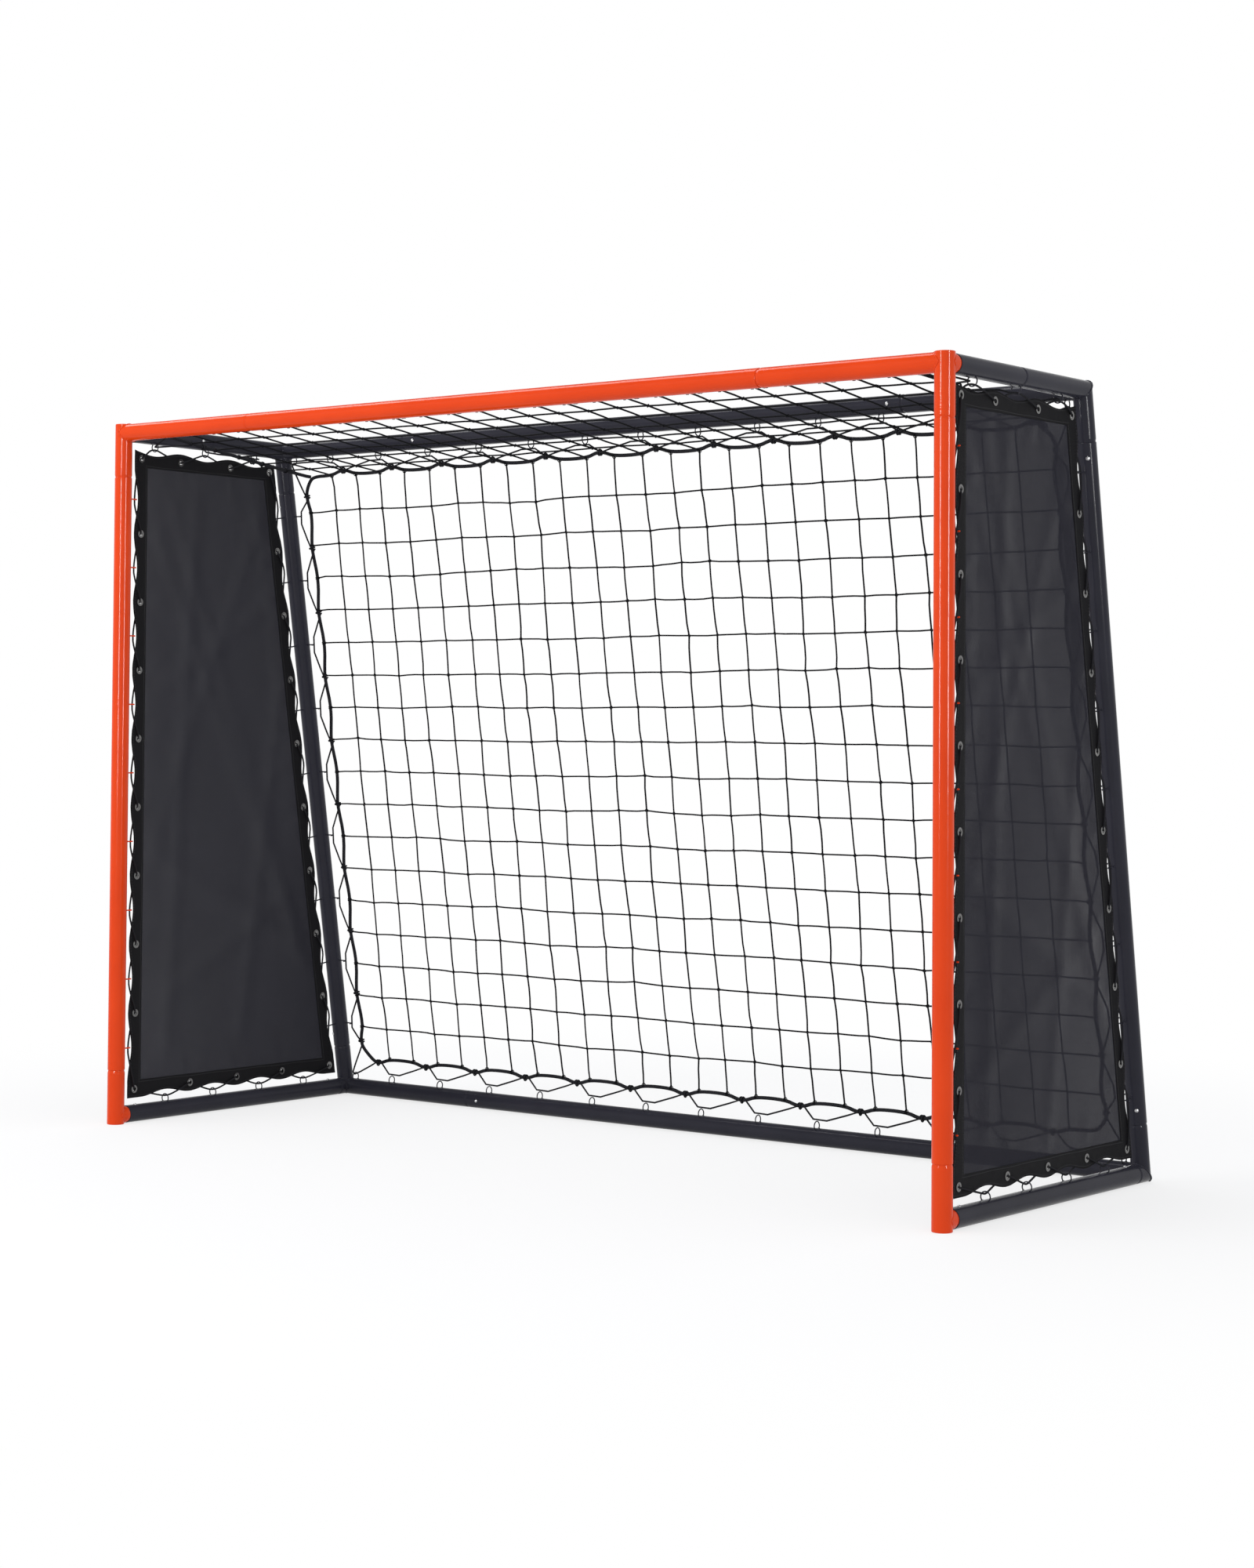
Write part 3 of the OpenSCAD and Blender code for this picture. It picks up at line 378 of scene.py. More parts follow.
def swept(name, routes, radius, finish, sides=8, closed=False, ripple=0.0):
    """Tubes along routes, as one mesh. Its UV map runs once round and, in metres, along.
    Ripple swells the radius, as a share of it, in even waves of 1.6 radii."""
    points, faces, marks = [], [], []
    for route in routes:
        route = np.asarray(route, float)
        n = len(route)
        before, after = np.roll(route, 1, 0), np.roll(route, -1, 0)
        if not closed:
            before[0], after[-1] = route[0], route[-1]
        heading = unit(ways(route - before) + ways(after - route))
        side = square_to(heading[0], Z, X)
        frames = []
        for h in heading:
            side = unit(side - (side @ h) * h)
            frames.append(side)
        frames = np.array(frames)
        if closed:
            # the frame that comes back is turned a little: the turn is spread along the route
            last = unit(frames[-1] - (frames[-1] @ heading[0]) * heading[0])
            turn = math.atan2(np.cross(frames[0], last) @ heading[0], frames[0] @ last)
            angle = (-turn * np.arange(n) / n)[:, None]
            frames = np.cos(angle) * frames + np.sin(angle) * np.cross(heading, frames)
        other = np.cross(heading, frames)
        step = np.linalg.norm(np.roll(route, -1, 0) - route, axis=1)
        along = np.concatenate([[0], np.cumsum(step)])
        around = (np.arange(sides) * 2 * math.pi / sides)[None, :, None]
        wide = radius * (1 + ripple * np.sin(2 * math.pi * along[:n] / (1.6 * radius)))
        ring = np.cos(around) * frames[:, None] + np.sin(around) * other[:, None]
        base = len(points)
        points.extend((route[:, None] + wide[:, None, None] * ring).reshape(-1, 3))
        for i in range(n if closed else n - 1):
            j = (i + 1) % n
            for k in range(sides):
                m = (k + 1) % sides
                faces.append([base + i * sides + k, base + i * sides + m,
                              base + j * sides + m, base + j * sides + k])
                marks += [(k / sides, along[i]), ((k + 1) / sides, along[i]),
                          ((k + 1) / sides, along[i + 1]), (k / sides, along[i + 1])]
        if not closed:
            for i, order in ((0, range(sides - 1, -1, -1)), (n - 1, range(sides))):
                faces.append([base + i * sides + k for k in order])
                marks += [(k / sides, along[i]) for k in order]
    return mapped(name, points, faces, finish, "along", marks)


def weld_line(centre, way, inside):
    """The closed line where a tube from centre leaves the solid that inside(points) tells of."""
    a = square_to(way, Z, X)
    b = np.cross(way, a)
    steps = np.arange(WELD_REACH, 0, -0.0001)[:, None]
    line = []
    for turn in ROUND:
        p = centre + WELD_LINE_R * (math.cos(turn) * a + math.sin(turn) * b) + steps * way
        line.append(p[np.argmax(inside(p))])
    return np.array(line)


def in_tube(centre, way):
    """Tells which points lie in a tube that runs on both ways from centre."""
    def inside(p):
        q = p - centre
        return np.linalg.norm(q - (q @ way)[:, None] * way, axis=1) < TUBE_R
    return inside


def in_elbow(centre, first, second):
    """Tells which points lie in two mitred arms."""
    def inside(p):
        nearer = ((p - centre) @ first) > ((p - centre) @ second)
        return np.where(nearer, in_tube(centre, first)(p), in_tube(centre, second)(p))
    return inside


def at_corner(side, y, z):
    return np.array([side * HALF_W, y, z])


front_welds, rear_welds = [], []
for side in (-1, 1):
    top, foot = at_corner(side, FRONT_Y, TOP_Z), at_corner(side, FRONT_Y, BASE_Z)
    for centre, arm in ((top, -side * X), (top, Y), (foot, Y)):
        front_welds.append(weld_line(centre, arm, in_tube(centre, Z)))
    for centre, post in ((at_corner(side, REAR_TOP_Y, TOP_Z), -BACK_UP),
                         (at_corner(side, REAR_BASE_Y, BASE_Z), BACK_UP)):
        rear_welds.append(weld_line(centre, -side * X, in_elbow(centre, -Y, post)))
        spread = TUBE_R / math.sin(math.acos(-Y @ post) / 2)
        rear_welds.append(centre + TUBE_R * np.sin(ROUND)[:, None] * X
                          + spread * np.cos(ROUND)[:, None] * unit(post - Y))
for name, lines, finish, slot in (
    ("front_corner_welds", front_welds, orange_paint, "orange_paint"),
    ("rear_corner_welds", rear_welds, charcoal_paint, "charcoal_paint"),
):
    for line in lines:
        line[:, 2] = np.maximum(line[:, 2], 1.2 * WELD_R)
    beads = swept(name, lines, WELD_R, finish, closed=True, ripple=0.12)
    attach(beads, "frame")

# ---------------- wire pins and loops
# Bent wire pins on the posts and the crossbar and closed wire loops on the bars, painted with
# the tube that carries them. Each foot sits in a small puddle of weld, made here on its point.
PIN_PITCH, PIN_COUNT, PIN_END = 0.19505, 9, 0.186
REAR_LEN = math.hypot(REAR_BASE_Y - REAR_TOP_Y, TOP_Z - BASE_Z)
REAR_PIN_END = (REAR_LEN - (PIN_COUNT - 1) * PIN_PITCH) / 2
PITCHES = 14
BAR_PITCH = 2 * HALF_W / PITCHES
BAR_XS = [k * BAR_PITCH - HALF_W for k in range(PITCHES + 1)]
LOOP_MID, LOOP_R, LOOP_WIRE = 0.031, 0.0125, 0.0044
FOOT_ACROSS, FOOT_UP = 0.00917, 0.0225
CORNER_LOOP_X = HALF_W - 0.044
FRONT_UPS = [PIN_END + i * PIN_PITCH for i in range(PIN_COUNT)]
REAR_UPS = [REAR_PIN_END + i * PIN_PITCH for i in range(PIN_COUNT)]
TOP_LOOPS = [0.122, 0.324, 0.526]
BASE_LOOPS = [0.192, 0.384, 0.576, 0.768]
NET_TOP, NET_BASE = -0.082, 0.095 - REAR_LEN
TOP_RUN = np.array([0, REAR_TOP_Y - FRONT_Y, 0]) + NET_TOP * BACK_UP
TOP_LEN = np.linalg.norm(TOP_RUN)
TOP_BACK = TOP_RUN / TOP_LEN
TOP_UP = np.cross(X, TOP_BACK)


def geometry_tree(name, sizes):
    """A Geometry Nodes tree with named sizes as inputs, and the wires of its inputs."""
    tree = bpy.data.node_groups.new(name, "GeometryNodeTree")
    tree.interface.new_socket(name="Geometry", in_out="INPUT", socket_type="NodeSocketGeometry")
    for size, value in sizes.items():
        tree.interface.new_socket(
            name=size, in_out="INPUT", socket_type="NodeSocketFloat").default_value = value
    tree.interface.new_socket(name="Geometry", in_out="OUTPUT", socket_type="NodeSocketGeometry")
    start = tree.nodes.new("NodeGroupInput")
    return tree, {s.name: Wire(s) for s in start.outputs if s.name}


def marked(tree, name):
    """The wire of a vector that each point carries."""
    return add_node(tree, "GeometryNodeInputNamedAttribute", {"data_type": "FLOAT_VECTOR"}, {
        "Name": name})


def handed_out(tree, geometry, finish):
    """Ends a tree: what it has made is shaded smooth and takes its finish."""
    smooth = add_node(tree, "GeometryNodeSetShadeSmooth", {}, {"Geometry": geometry})
    done = add_node(tree, "GeometryNodeSetMaterial", {}, {"Geometry": smooth, "Material": finish})
    add_node(tree, "NodeGroupOutput", {}, {"Geometry": done})
    return tree


def instance_tree(name, finish, sizes, build):
    """A tree that sets a small shape on each point, turned so that its z follows the mark out
    and its x the mark along, then makes it real. build(tree, sizes) returns the shape."""
    tree, given = geometry_tree(name, sizes)
    turned = add_node(
        tree, "FunctionNodeAxesToRotation", {"primary_axis": "Z", "secondary_axis": "X"},
        {0: marked(tree, "out"), 1: marked(tree, "along")})
    placed = add_node(tree, "GeometryNodeInstanceOnPoints", {}, {
        "Points": given["Geometry"], "Instance": build(tree, given), "Rotation": turned})
    real = add_node(tree, "GeometryNodeRealizeInstances", {}, {"Geometry": placed})
    return handed_out(tree, real, finish)


def ball(tree, segments, rings, radius):
    return add_node(tree, "GeometryNodeMeshUVSphere", {}, {
        "Segments": segments, "Rings": rings, "Radius": radius})["Mesh"]


def changed(tree, shape, **how):
    return add_node(tree, "GeometryNodeTransform", {}, {"Geometry": shape, **how})


def puddle(tree, given):
    """A flat blob of weld."""
    flat = add_node(tree, "ShaderNodeCombineXYZ", {}, {"X": 1.0, "Y": 1.0, "Z": given["Flatness"]})
    return changed(tree, ball(tree, 10, 6, given["Radius"]), Scale=flat)


def settle(piece, modifier):
    """Makes what a modifier does part of the piece's own mesh."""
    before = piece.data
    graph = bpy.context.evaluated_depsgraph_get()
    piece.data = bpy.data.meshes.new_from_object(piece.evaluated_get(graph), depsgraph=graph)
    piece.modifiers.remove(modifier)
    bpy.data.meshes.remove(before)


def grown(name, points, marks, tree, edges=()):
    """Runs a tree on points and keeps the result as a plain mesh that rides on the frame.
    marks are named vectors on the points."""
    mesh = new_mesh(name, points, (), edges)
    for mark, values in marks.items():
        layer = mesh.attributes.new(mark, "FLOAT_VECTOR", "POINT")
        layer.data.foreach_set("vector", np.asarray(values, np.float32).ravel())
    made = in_scene(name, mesh)
    modifier = made.modifiers.new(tree.name, "NODES")
    modifier.node_group = tree
    settle(made, modifier)
    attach(made, "frame")
    return made


def loop_feet(middle, across, up):
    """The two feet of a closed loop that stands on the side up of a bar."""
    outs = [unit(sign * FOOT_ACROSS * across + FOOT_UP * up) for sign in (-1, 1)]
    return [(middle + TUBE_R * out, out) for out in outs]


front_feet, rear_feet = [], []
for side in (-1, 1):
    for up in FRONT_UPS:
        front_feet.append((at_corner(side, FRONT_Y + TUBE_R, BASE_Z + up), Y))
    for up in REAR_UPS:
        for out in (-side * X, BACK_OUT):
            rear_feet.append((at_corner(side, REAR_BASE_Y, BASE_Z) + up * BACK_UP + TUBE_R * out,
                              out))
    for back in TOP_LOOPS:
        rear_feet += loop_feet(at_corner(side, FRONT_Y + back, TOP_Z), X, -Z)
    for back in BASE_LOOPS:
        rear_feet += loop_feet(at_corner(side, FRONT_Y + back, BASE_Z), X, Z)
for x in BAR_XS[1:-1]:
    front_feet.append((np.array([x, FRONT_Y, TOP_Z]) + TUBE_R * TOP_BACK, TOP_BACK))
for x in [-CORNER_LOOP_X, *BAR_XS[1:-1], CORNER_LOOP_X]:
    rear_feet += loop_feet(np.array([x, REAR_TOP_Y, TOP_Z]), BACK_OUT, -BACK_UP)
    rear_feet += loop_feet(np.array([x, REAR_BASE_Y, BASE_Z]), BACK_OUT, BACK_UP)
for name, feet, finish, slot in (
    ("front_pin_welds", front_feet, orange_paint, "orange_paint"),
    ("rear_pin_and_loop_welds", rear_feet, charcoal_paint, "charcoal_paint"),
):
    places, outs = zip(*feet)
    blobs = grown(name, places, {"out": outs, "along": [square_to(out, X, Y) for out in outs]},
                  instance_tree(name, finish, {"Radius": 0.0036, "Flatness": 0.42}, puddle))
finished(orange_paint, "front_pins")
finished(charcoal_paint, "rear_post_pins", "rear_bar_loops", "side_bar_loops")

# ---------------- back net's border rope
# A black braided rope, 10 mm thick, round the edge of the back net. The lacing pulls it out
# towards the bars in short flat-topped scallops and lets it lie level in between.
CELL = BAR_PITCH / 2
QUARTER = CELL / 2
NET_X = HALF_W - CELL
ROPE_R, LACE_R, ROPE_SIDES = 0.005, 0.0025, 12
PULL, PULL_HALF, CORNER = 0.013, 0.012, 0.020
PULLED_X, PULLED_TOP, PULLED_BASE = NET_X + PULL, NET_TOP + PULL, NET_BASE - PULL
PIN_VS = [up - REAR_LEN for up in REAR_UPS]
STOPS = [NET_BASE, *PIN_VS, NET_TOP]
SIDE_PULLS = [(a + b) / 2 for a, b in zip(STOPS, STOPS[1:])]


def in_row(points, origin, second, third):
    """Points given across and along two ways from an origin, in the row frame."""
    p = np.asarray(points, float)
    return np.array(origin) + p[:, :1] * X + p[:, 1:2] * second + p[:, 2:] * third


def on_back(points):
    """Points given across, up the back and out towards the mouth, in the row frame."""
    return in_row(points, [0, REAR_TOP_Y, TOP_Z], BACK_UP, BACK_OUT)


def pull(c, along):
    """The two ends of a scallop's flat top."""
    c, along = np.array(c, float), np.array(along, float)
    return [c - PULL_HALF * along, c + PULL_HALF * along]


def eased(route, rounds=2, closed=False):
    """The route with its corners cut, and the new corners cut again."""
    route = np.asarray(route, float)
    for _ in range(rounds):
        after = np.roll(route, -1, 0)
        near, far = 0.75 * route + 0.25 * after, 0.25 * route + 0.75 * after
        cut = np.stack([near, far], 1).reshape(-1, route.shape[1])
        route = cut if closed else np.concatenate([route[:1], cut[1:-3], route[-1:]])
    return route


def spaced(route, step, closed=False):
    """The route again, with points about step apart."""
    if closed:
        route = np.concatenate([route, route[:1]])
    along = np.concatenate([[0], np.cumsum(np.linalg.norm(np.diff(route, axis=0), axis=1))])
    at = np.linspace(0, along[-1], max(3, round(along[-1] / step) + 1))
    if closed:
        at = at[:-1]
    return np.stack([np.interp(at, along, route[:, k]) for k in range(route.shape[1])], 1)


def crossed_ribs(tree, across, along):
    """The height, 0 to 1, of ribs that cross both ways, so many for each unit of the UV map."""
    place = add_node(tree, "ShaderNodeSeparateXYZ", {}, {
        0: add_node(tree, "ShaderNodeUVMap", {"uv_map": "along"})})
    one = ((place["X"] * across + place["Y"] * along) * (2 * math.pi)).maths("SINE")
    other = ((place["X"] * across - place["Y"] * along) * (2 * math.pi)).maths("SINE")
    return one.maths("MAXIMUM", other) * 0.5 + 0.5


def braid(name, plait, light):
    """Finish of a cord whose strands cross both ways round it, each once round in a plait."""
    made, tree, sockets = new_finish(name, specular=0.06)
    height, fuzz = crossed_ribs(tree, 4.0, 4.0 / plait), grain(tree, 900.0)
    sockets(
        Base_Color=mixed(tree, height * (0.7 + 0.6 * fuzz), rgb(0.004, 0.004, 0.005), light),
        Roughness=0.55 + 0.25 * fuzz,
        Normal=bumped(tree, height, 0.0009),
    )
    return made


def along_bar(level, pulled, way):
    """A rope's scallops along a bar, to the right for way 1 and to the left for -1."""
    route = []
    for x in BAR_XS[1:-1][::way]:
        route += [[x, level, 0], *pull([x + way * QUARTER, pulled, 0], way * X),
                  [x + way * CELL, level, 0]]
    return route[:-1]


def down_side(turns, pins):
    """A route down or up a side: lists of points for its turns, with a pin after all but one."""
    route = [*turns[0]]
    for pin, turn in zip(pins, turns[1:]):
        route += [pin, *turn]
    return route


# Up the left side and along the top for way 1, then down the right side and back for way -1.
back_route = []
for way, first, last, pulled in (
    (1, NET_BASE, NET_TOP, PULLED_TOP), (-1, NET_TOP, NET_BASE, PULLED_BASE),
):
    back_route.append([-way * NET_X, first + way * CORNER, 0])
    back_route += down_side(
        [pull([-way * PULLED_X, v, 0], way * Y) for v in SIDE_PULLS[::way]],
        [[-way * NET_X, v, 0] for v in PIN_VS[::way]])
    back_route += [[-way * NET_X, last - way * CORNER, 0], [way * (CORNER - NET_X), last, 0],
                   *along_bar(last, pulled, way)]
back_route = eased(back_route[1:] + back_route[:1], closed=True)
rope_braid = braid("black_braided_rope", 0.03, rgb(0.022, 0.022, 0.026))
back_rope = swept("back_border_rope", [on_back(spaced(back_route, 0.006, True))], ROPE_R,
                  rope_braid, ROPE_SIDES, closed=True)
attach(back_rope, "frame")
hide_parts("back_net_rope")

# ---------------- back net
# A machine-knotted mesh of 4.8 mm black string, 26 cells across and 18 down, hung from its border
# rope. Every crossing has a small knot, and each end is tied round the rope in a tight ring.
STRING_R, KNOT_R, SPLIT = 0.0024, 0.0046, 3
FIRST_ROW, ROW_PITCH, ROWS = -0.190, 0.0985, 17
string_twist, tree, sockets = new_finish("black_net_string", specular=0.04)
fibre = grain(tree, 700.0, 3.0)
sockets(
    Base_Color=mixed(tree, fibre, rgb(0.003, 0.003, 0.004), rgb(0.012, 0.012, 0.014)),
    Roughness=0.5 + 0.25 * grain(tree, 150.0),
    Normal=bumped(tree, fibre, 0.0005),
)


def circle(tree, points, radius):
    return add_node(tree, "GeometryNodeCurvePrimitiveCircle", {"mode": "RADIUS"}, {
        "Resolution": points, "Radius": radius})


def joined(tree, *parts):
    made = tree.nodes.new("GeometryNodeJoinGeometry")
    for part in parts:
        tree.links.new(part.socket, made.inputs[0])
    return Wire(made.outputs[0])


def string_tree(name, wander, scale):
    """Strings along the edges, moved a little off their lines, and a knot of two crossed lumps
    on each point whose mark is near 1."""
    tree, given = geometry_tree(name, {
        "String radius": STRING_R, "Wander": wander, "Wander scale": scale, "Knot size": KNOT_R})
    held = add_node(tree, "ShaderNodeSeparateXYZ", {}, {0: marked(tree, "knot")})["X"]
    noise = add_node(tree, "ShaderNodeTexNoise", {}, {
        "Vector": add_node(tree, "GeometryNodeInputPosition"), "Scale": given["Wander scale"],
        "Detail": 2.0})["Color"]
    centred = add_node(tree, "ShaderNodeVectorMath", {"operation": "SUBTRACT"}, {
        0: noise, 1: (0.5, 0.5, 0.5)})
    loose = add_node(tree, "ShaderNodeVectorMath", {"operation": "SCALE"}, {
        0: centred, "Scale": given["Wander"] * held * 2.0})
    moved = add_node(tree, "GeometryNodeSetPosition", {}, {
        "Geometry": given["Geometry"], "Offset": loose})
    strings = add_node(tree, "GeometryNodeCurveToMesh", {}, {
        "Curve": add_node(tree, "GeometryNodeMeshToCurve", {}, {"Mesh": moved}),
        "Profile Curve": circle(tree, 6, given["String radius"]), "Fill Caps": True})
    lump = ball(tree, 6, 4, given["Knot size"])
    knot = joined(tree, *[changed(tree, lump, Scale=(1.25, 0.72, 0.72), Rotation=(0.0, turn, 0.0))
                          for turn in (0.6, -0.6)])
    knotted = add_node(tree, "FunctionNodeCompare", {"operation": "GREATER_THAN"}, {
        0: held, 1: 0.75})
    spin = add_node(tree, "FunctionNodeRandomValue", {"data_type": "FLOAT_VECTOR"}, {
        "Min": (-0.5, -0.5, -0.5), "Max": (0.5, 0.5, 0.5), "Seed": 7})
    knots = add_node(tree, "GeometryNodeInstanceOnPoints", {}, {
        "Points": moved, "Selection": knotted, "Instance": knot, "Rotation": spin})
    real = add_node(tree, "GeometryNodeRealizeInstances", {}, {"Geometry": knots})
    return handed_out(tree, joined(tree, strings, real), string_twist)


def mesh_lines(columns, rows):
    """Points and edges of a net. columns and rows are lists of ends, (first, last), that give
    each string its own line, and the knots are where they cross. Returns points, edges, how
    firmly each point is held (1 at a knot, less between knots and 0 at an end) and each end
    with the way of the rope there."""
    points, edges, marks, ends, index = [], [], [], [], {}

    def point(p, key, mark):
        if key not in index:
            index[key] = len(points)
            points.append(p)
            marks.append((mark, 0, 0))
        return index[key]

    def knot(i, j):
        (x0, y0), (x1, y1) = columns[i]
        (u0, v0), (u1, v1) = rows[j]
        y = v0 + (v1 - v0) * ((x0 + x1) / 2 - u0) / (u1 - u0)
        return np.array([x0 + (x1 - x0) * (y - y0) / (y1 - y0), y, 0]), ("knot", i, j), 1.0

    def run(kind, number, line, knots, way):
        first, last = (np.array([*end, 0]) for end in line)
        ends.extend([(first, way), (last, way)])
        stops = [(first, (kind, number, 0), 0.0), *knots, (last, (kind, number, 1), 0.0)]
        for (pa, ka, ma), (pb, kb, mb) in zip(stops, stops[1:]):
            before = point(pa, ka, ma)
            for s in range(1, SPLIT + 1):
                t = s / SPLIT
                key, mark = (kb, mb) if s == SPLIT else ((ka, kb, s), 0.6)
                here = point((1 - t) * pa + t * pb, key, mark)
                edges.append((before, here))
                before = here

    for i, line in enumerate(columns):
        run("column", i, line, [knot(i, j) for j in range(len(rows))], X)
    for j, line in enumerate(rows):
        run("row", j, line, [knot(i, j) for i in range(len(columns))], Y)
    return points, edges, marks, ends


def ring(tree, given):
    """Two turns of string round the border rope, whose way is x."""
    hoop = add_node(tree, "GeometryNodeCurveToMesh", {}, {
        "Curve": circle(tree, 10, given["Ring radius"]),
        "Profile Curve": circle(tree, 4, given["String radius"])})
    return joined(tree, *[
        changed(tree, hoop, Translation=(shift, 0.0, 0.0), Rotation=(0.0, math.pi / 2, 0.0))
        for shift in (-0.0021, 0.0021)])


tied = instance_tree("string_rings_on_rope", string_twist,
                     {"String radius": 0.0014, "Ring radius": 0.0058}, ring)


def hung_net(word, on_net, up, out, first, last, rows, wander, scale):
    """The strings of a net between first and last, and the rings that tie them to its rope, as
    two pieces. up and out are the net's own ways."""
    columns = [((j * CELL - HALF_W, first), (j * CELL - HALF_W, last))
               for j in range(2, 2 * PITCHES - 1)]
    points, edges, marks, ends = mesh_lines(columns, rows)
    strings = grown(f"{word}_net_strings", on_net(points), {"knot": marks},
                    string_tree(f"knotted_{word}_net", wander, scale), edges)
    ties = grown(f"{word}_net_ties", on_net([p for p, _ in ends]), {
        "out": [out] * len(ends), "along": [X if way is X else up for _, way in ends]}, tied)
    return strings, ties


rope_way = spaced(back_route, 0.004, True)


def rope_end(v, side):
    """Where a row at a height meets the back net's side rope."""
    near = rope_way[(np.sign(rope_way[:, 0]) == side) & (np.abs(rope_way[:, 0]) > NET_X - 0.002)]
    return float(near[np.argmin(np.abs(near[:, 1] - v)), 0]), v


row_vs = [FIRST_ROW - ROW_PITCH * j for j in range(ROWS)]
net_strings, back_ties = hung_net(
    "back", on_back, BACK_UP, BACK_OUT, NET_TOP, NET_BASE,
    [(rope_end(v, -1), rope_end(v, 1)) for v in row_vs], wander=0.014, scale=3.5)
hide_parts("back_net")

# ---------------- back net's lacing
# A 5 mm black cord that ties the border rope to the frame in one closed round. It passes each
# loop or pin, goes down to the rope, winds once and a half round it and goes on to the next.
PIN_PASS, PIN_SIDE = 0.0457, 0.0053
LOOP_PASS = LOOP_MID + LOOP_R - 1.35 * LOOP_WIRE
WOUND_R, WOUND_HALF, WOUND_DEGREES = ROPE_R + LACE_R + 0.0005, 0.0046, 540
lace_braid = braid("black_lacing_cord", 0.016, rgb(0.026, 0.026, 0.03))


def wound(c, along, bar, over=False):
    """Lacing round a rope at c, from behind its plane to before it, or the other way if over."""
    c, along, bar = (np.array(v, float) for v in (c, along, bar))
    turn = np.radians(np.arange(0, WOUND_DEGREES + 1, 30))[:, None]
    share = 2 * turn / turn[-1] - 1
    rise = WOUND_R if over else -WOUND_R
    return list(c + WOUND_HALF * share * along - WOUND_R * np.sin(turn) * bar
                + rise * np.cos(turn) * Z)


def corner_pass(side, v, away):
    """Through the loop nearest a corner and round its outer side."""
    x = CORNER_LOOP_X
    return [[side * x, v, 0], [side * (x + 0.007), v + 0.003 * away, 0],
            [side * (x + 0.009), v + 0.010 * away, 0]]


# Along the top and down the right side for way 1, then back below and up the left for way -1.
back_lacing = []
top_v, base_v = -LOOP_PASS, LOOP_PASS - REAR_LEN
for way, first, last, pulled in ((1, top_v, base_v, PULLED_TOP), (-1, base_v, top_v, PULLED_BASE)):
    for x in BAR_XS[1:-1][::way]:
        back_lacing += [[x, first, 0],
                        *wound([x + way * QUARTER, pulled, 0], way * X, way * Y)]
    back_lacing += corner_pass(way, first, -way)
    back_lacing += down_side(
        [wound([way * PULLED_X, v, 0], -way * Y, way * X) for v in SIDE_PULLS[::-way]],
        [[way * (HALF_W - PIN_PASS), v, PIN_SIDE] for v in PIN_VS[::-way]])
    back_lacing += corner_pass(way, last, way)[::-1]
back_cord = swept("back_net_lacing_cord", [on_back(eased(back_lacing, 1, True))], LACE_R,
                  lace_braid, closed=True)
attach(back_cord, "frame")
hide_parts("back_net_lacing")

# ---------------- top net
# The roof net, in the same string and rope, laced to the crossbar's pins and the side bars'
# loops. Its back edge hangs on the back net's top rope.
ROPE_BEHIND, TOP_ROWS = 0.072, 6
ROW_D = (TOP_LEN - ROPE_BEHIND) / TOP_ROWS
PULLED_FRONT = ROPE_BEHIND - PULL
OVER = ROPE_R + LACE_R + 0.0018


def on_top(points):
    """Points given across, back from the crossbar and above the roof, in the row frame."""
    return in_row(points, [0, FRONT_Y, TOP_Z], TOP_BACK, TOP_UP)


top_route = [[CORNER / 2 - NET_X, TOP_LEN, 0], [-NET_X, TOP_LEN - CORNER, 0],
             [-NET_X, ROPE_BEHIND + CORNER, 0], [CORNER - NET_X, ROPE_BEHIND, 0],
             *along_bar(ROPE_BEHIND, PULLED_FRONT, 1), [NET_X, ROPE_BEHIND + CORNER, 0],
             [NET_X, TOP_LEN - CORNER, 0], [NET_X - CORNER / 2, TOP_LEN, 0]]
top_rope = swept("top_border_rope", [on_top(spaced(eased(top_route), 0.006))], ROPE_R,
                 rope_braid, ROPE_SIDES)
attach(top_rope, "frame")
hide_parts("top_net_rope")
row_ds = [ROPE_BEHIND + i * ROW_D for i in range(1, TOP_ROWS)]
roof_strings, top_ties = hung_net(
    "top", on_top, TOP_BACK, TOP_UP, ROPE_BEHIND, TOP_LEN,
    [((-NET_X, d), (NET_X, d)) for d in row_ds], wander=0.008, scale=5.0)
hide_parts("top_net")


def side_hold(side, back, on=0.0):
    """Where the lacing passes a side bar's loop, in the roof's own plane, or further on."""
    p = np.array([side * (HALF_W - LOOP_R + 1.45 * LOOP_WIRE), back, -LOOP_MID])
    return [p[0], p @ TOP_BACK + on, p @ TOP_UP]


def side_turns(side, i):
    """From one side loop to the one before it: round the rope between, or short of the front."""
    if not i:
        return [side_hold(side, TOP_LOOPS[0], -0.008)]
    return wound([side * NET_X, (TOP_LOOPS[i] + TOP_LOOPS[i - 1]) / 2, 0], side * Y, side * X,
                 over=side > 0)


top_lacing = [side_hold(-1, TOP_LOOPS[2], 0.015)]
for i in (2, 1, 0):
    top_lacing += [side_hold(-1, TOP_LOOPS[i]), *side_turns(-1, i)]
top_lacing += [[CORNER / 2 - NET_X, ROPE_BEHIND + CORNER / 2, OVER],
               [2 * CORNER - NET_X, ROPE_BEHIND, OVER]]
for x in BAR_XS[1:-2]:
    top_lacing += [[x, PIN_PASS, PIN_SIDE], *wound([x + QUARTER, PULLED_FRONT, 0], X, -Y)]
top_lacing.append([BAR_XS[-2], PIN_PASS, PIN_SIDE])
top_lacing += [[NET_X - QUARTER, PULLED_FRONT, OVER],
               [NET_X - CORNER / 2, ROPE_BEHIND + CORNER / 2, OVER]]
for i in (0, 1, 2):
    top_lacing += [*side_turns(1, i), side_hold(1, TOP_LOOPS[i])]
top_lacing.append(side_hold(1, TOP_LOOPS[2], 0.015))
top_cord = swept("top_net_lacing_cord", [on_top(eased(top_lacing, 1))], LACE_R, lace_braid)
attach(top_cord, "frame")
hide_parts("top_net_lacing")

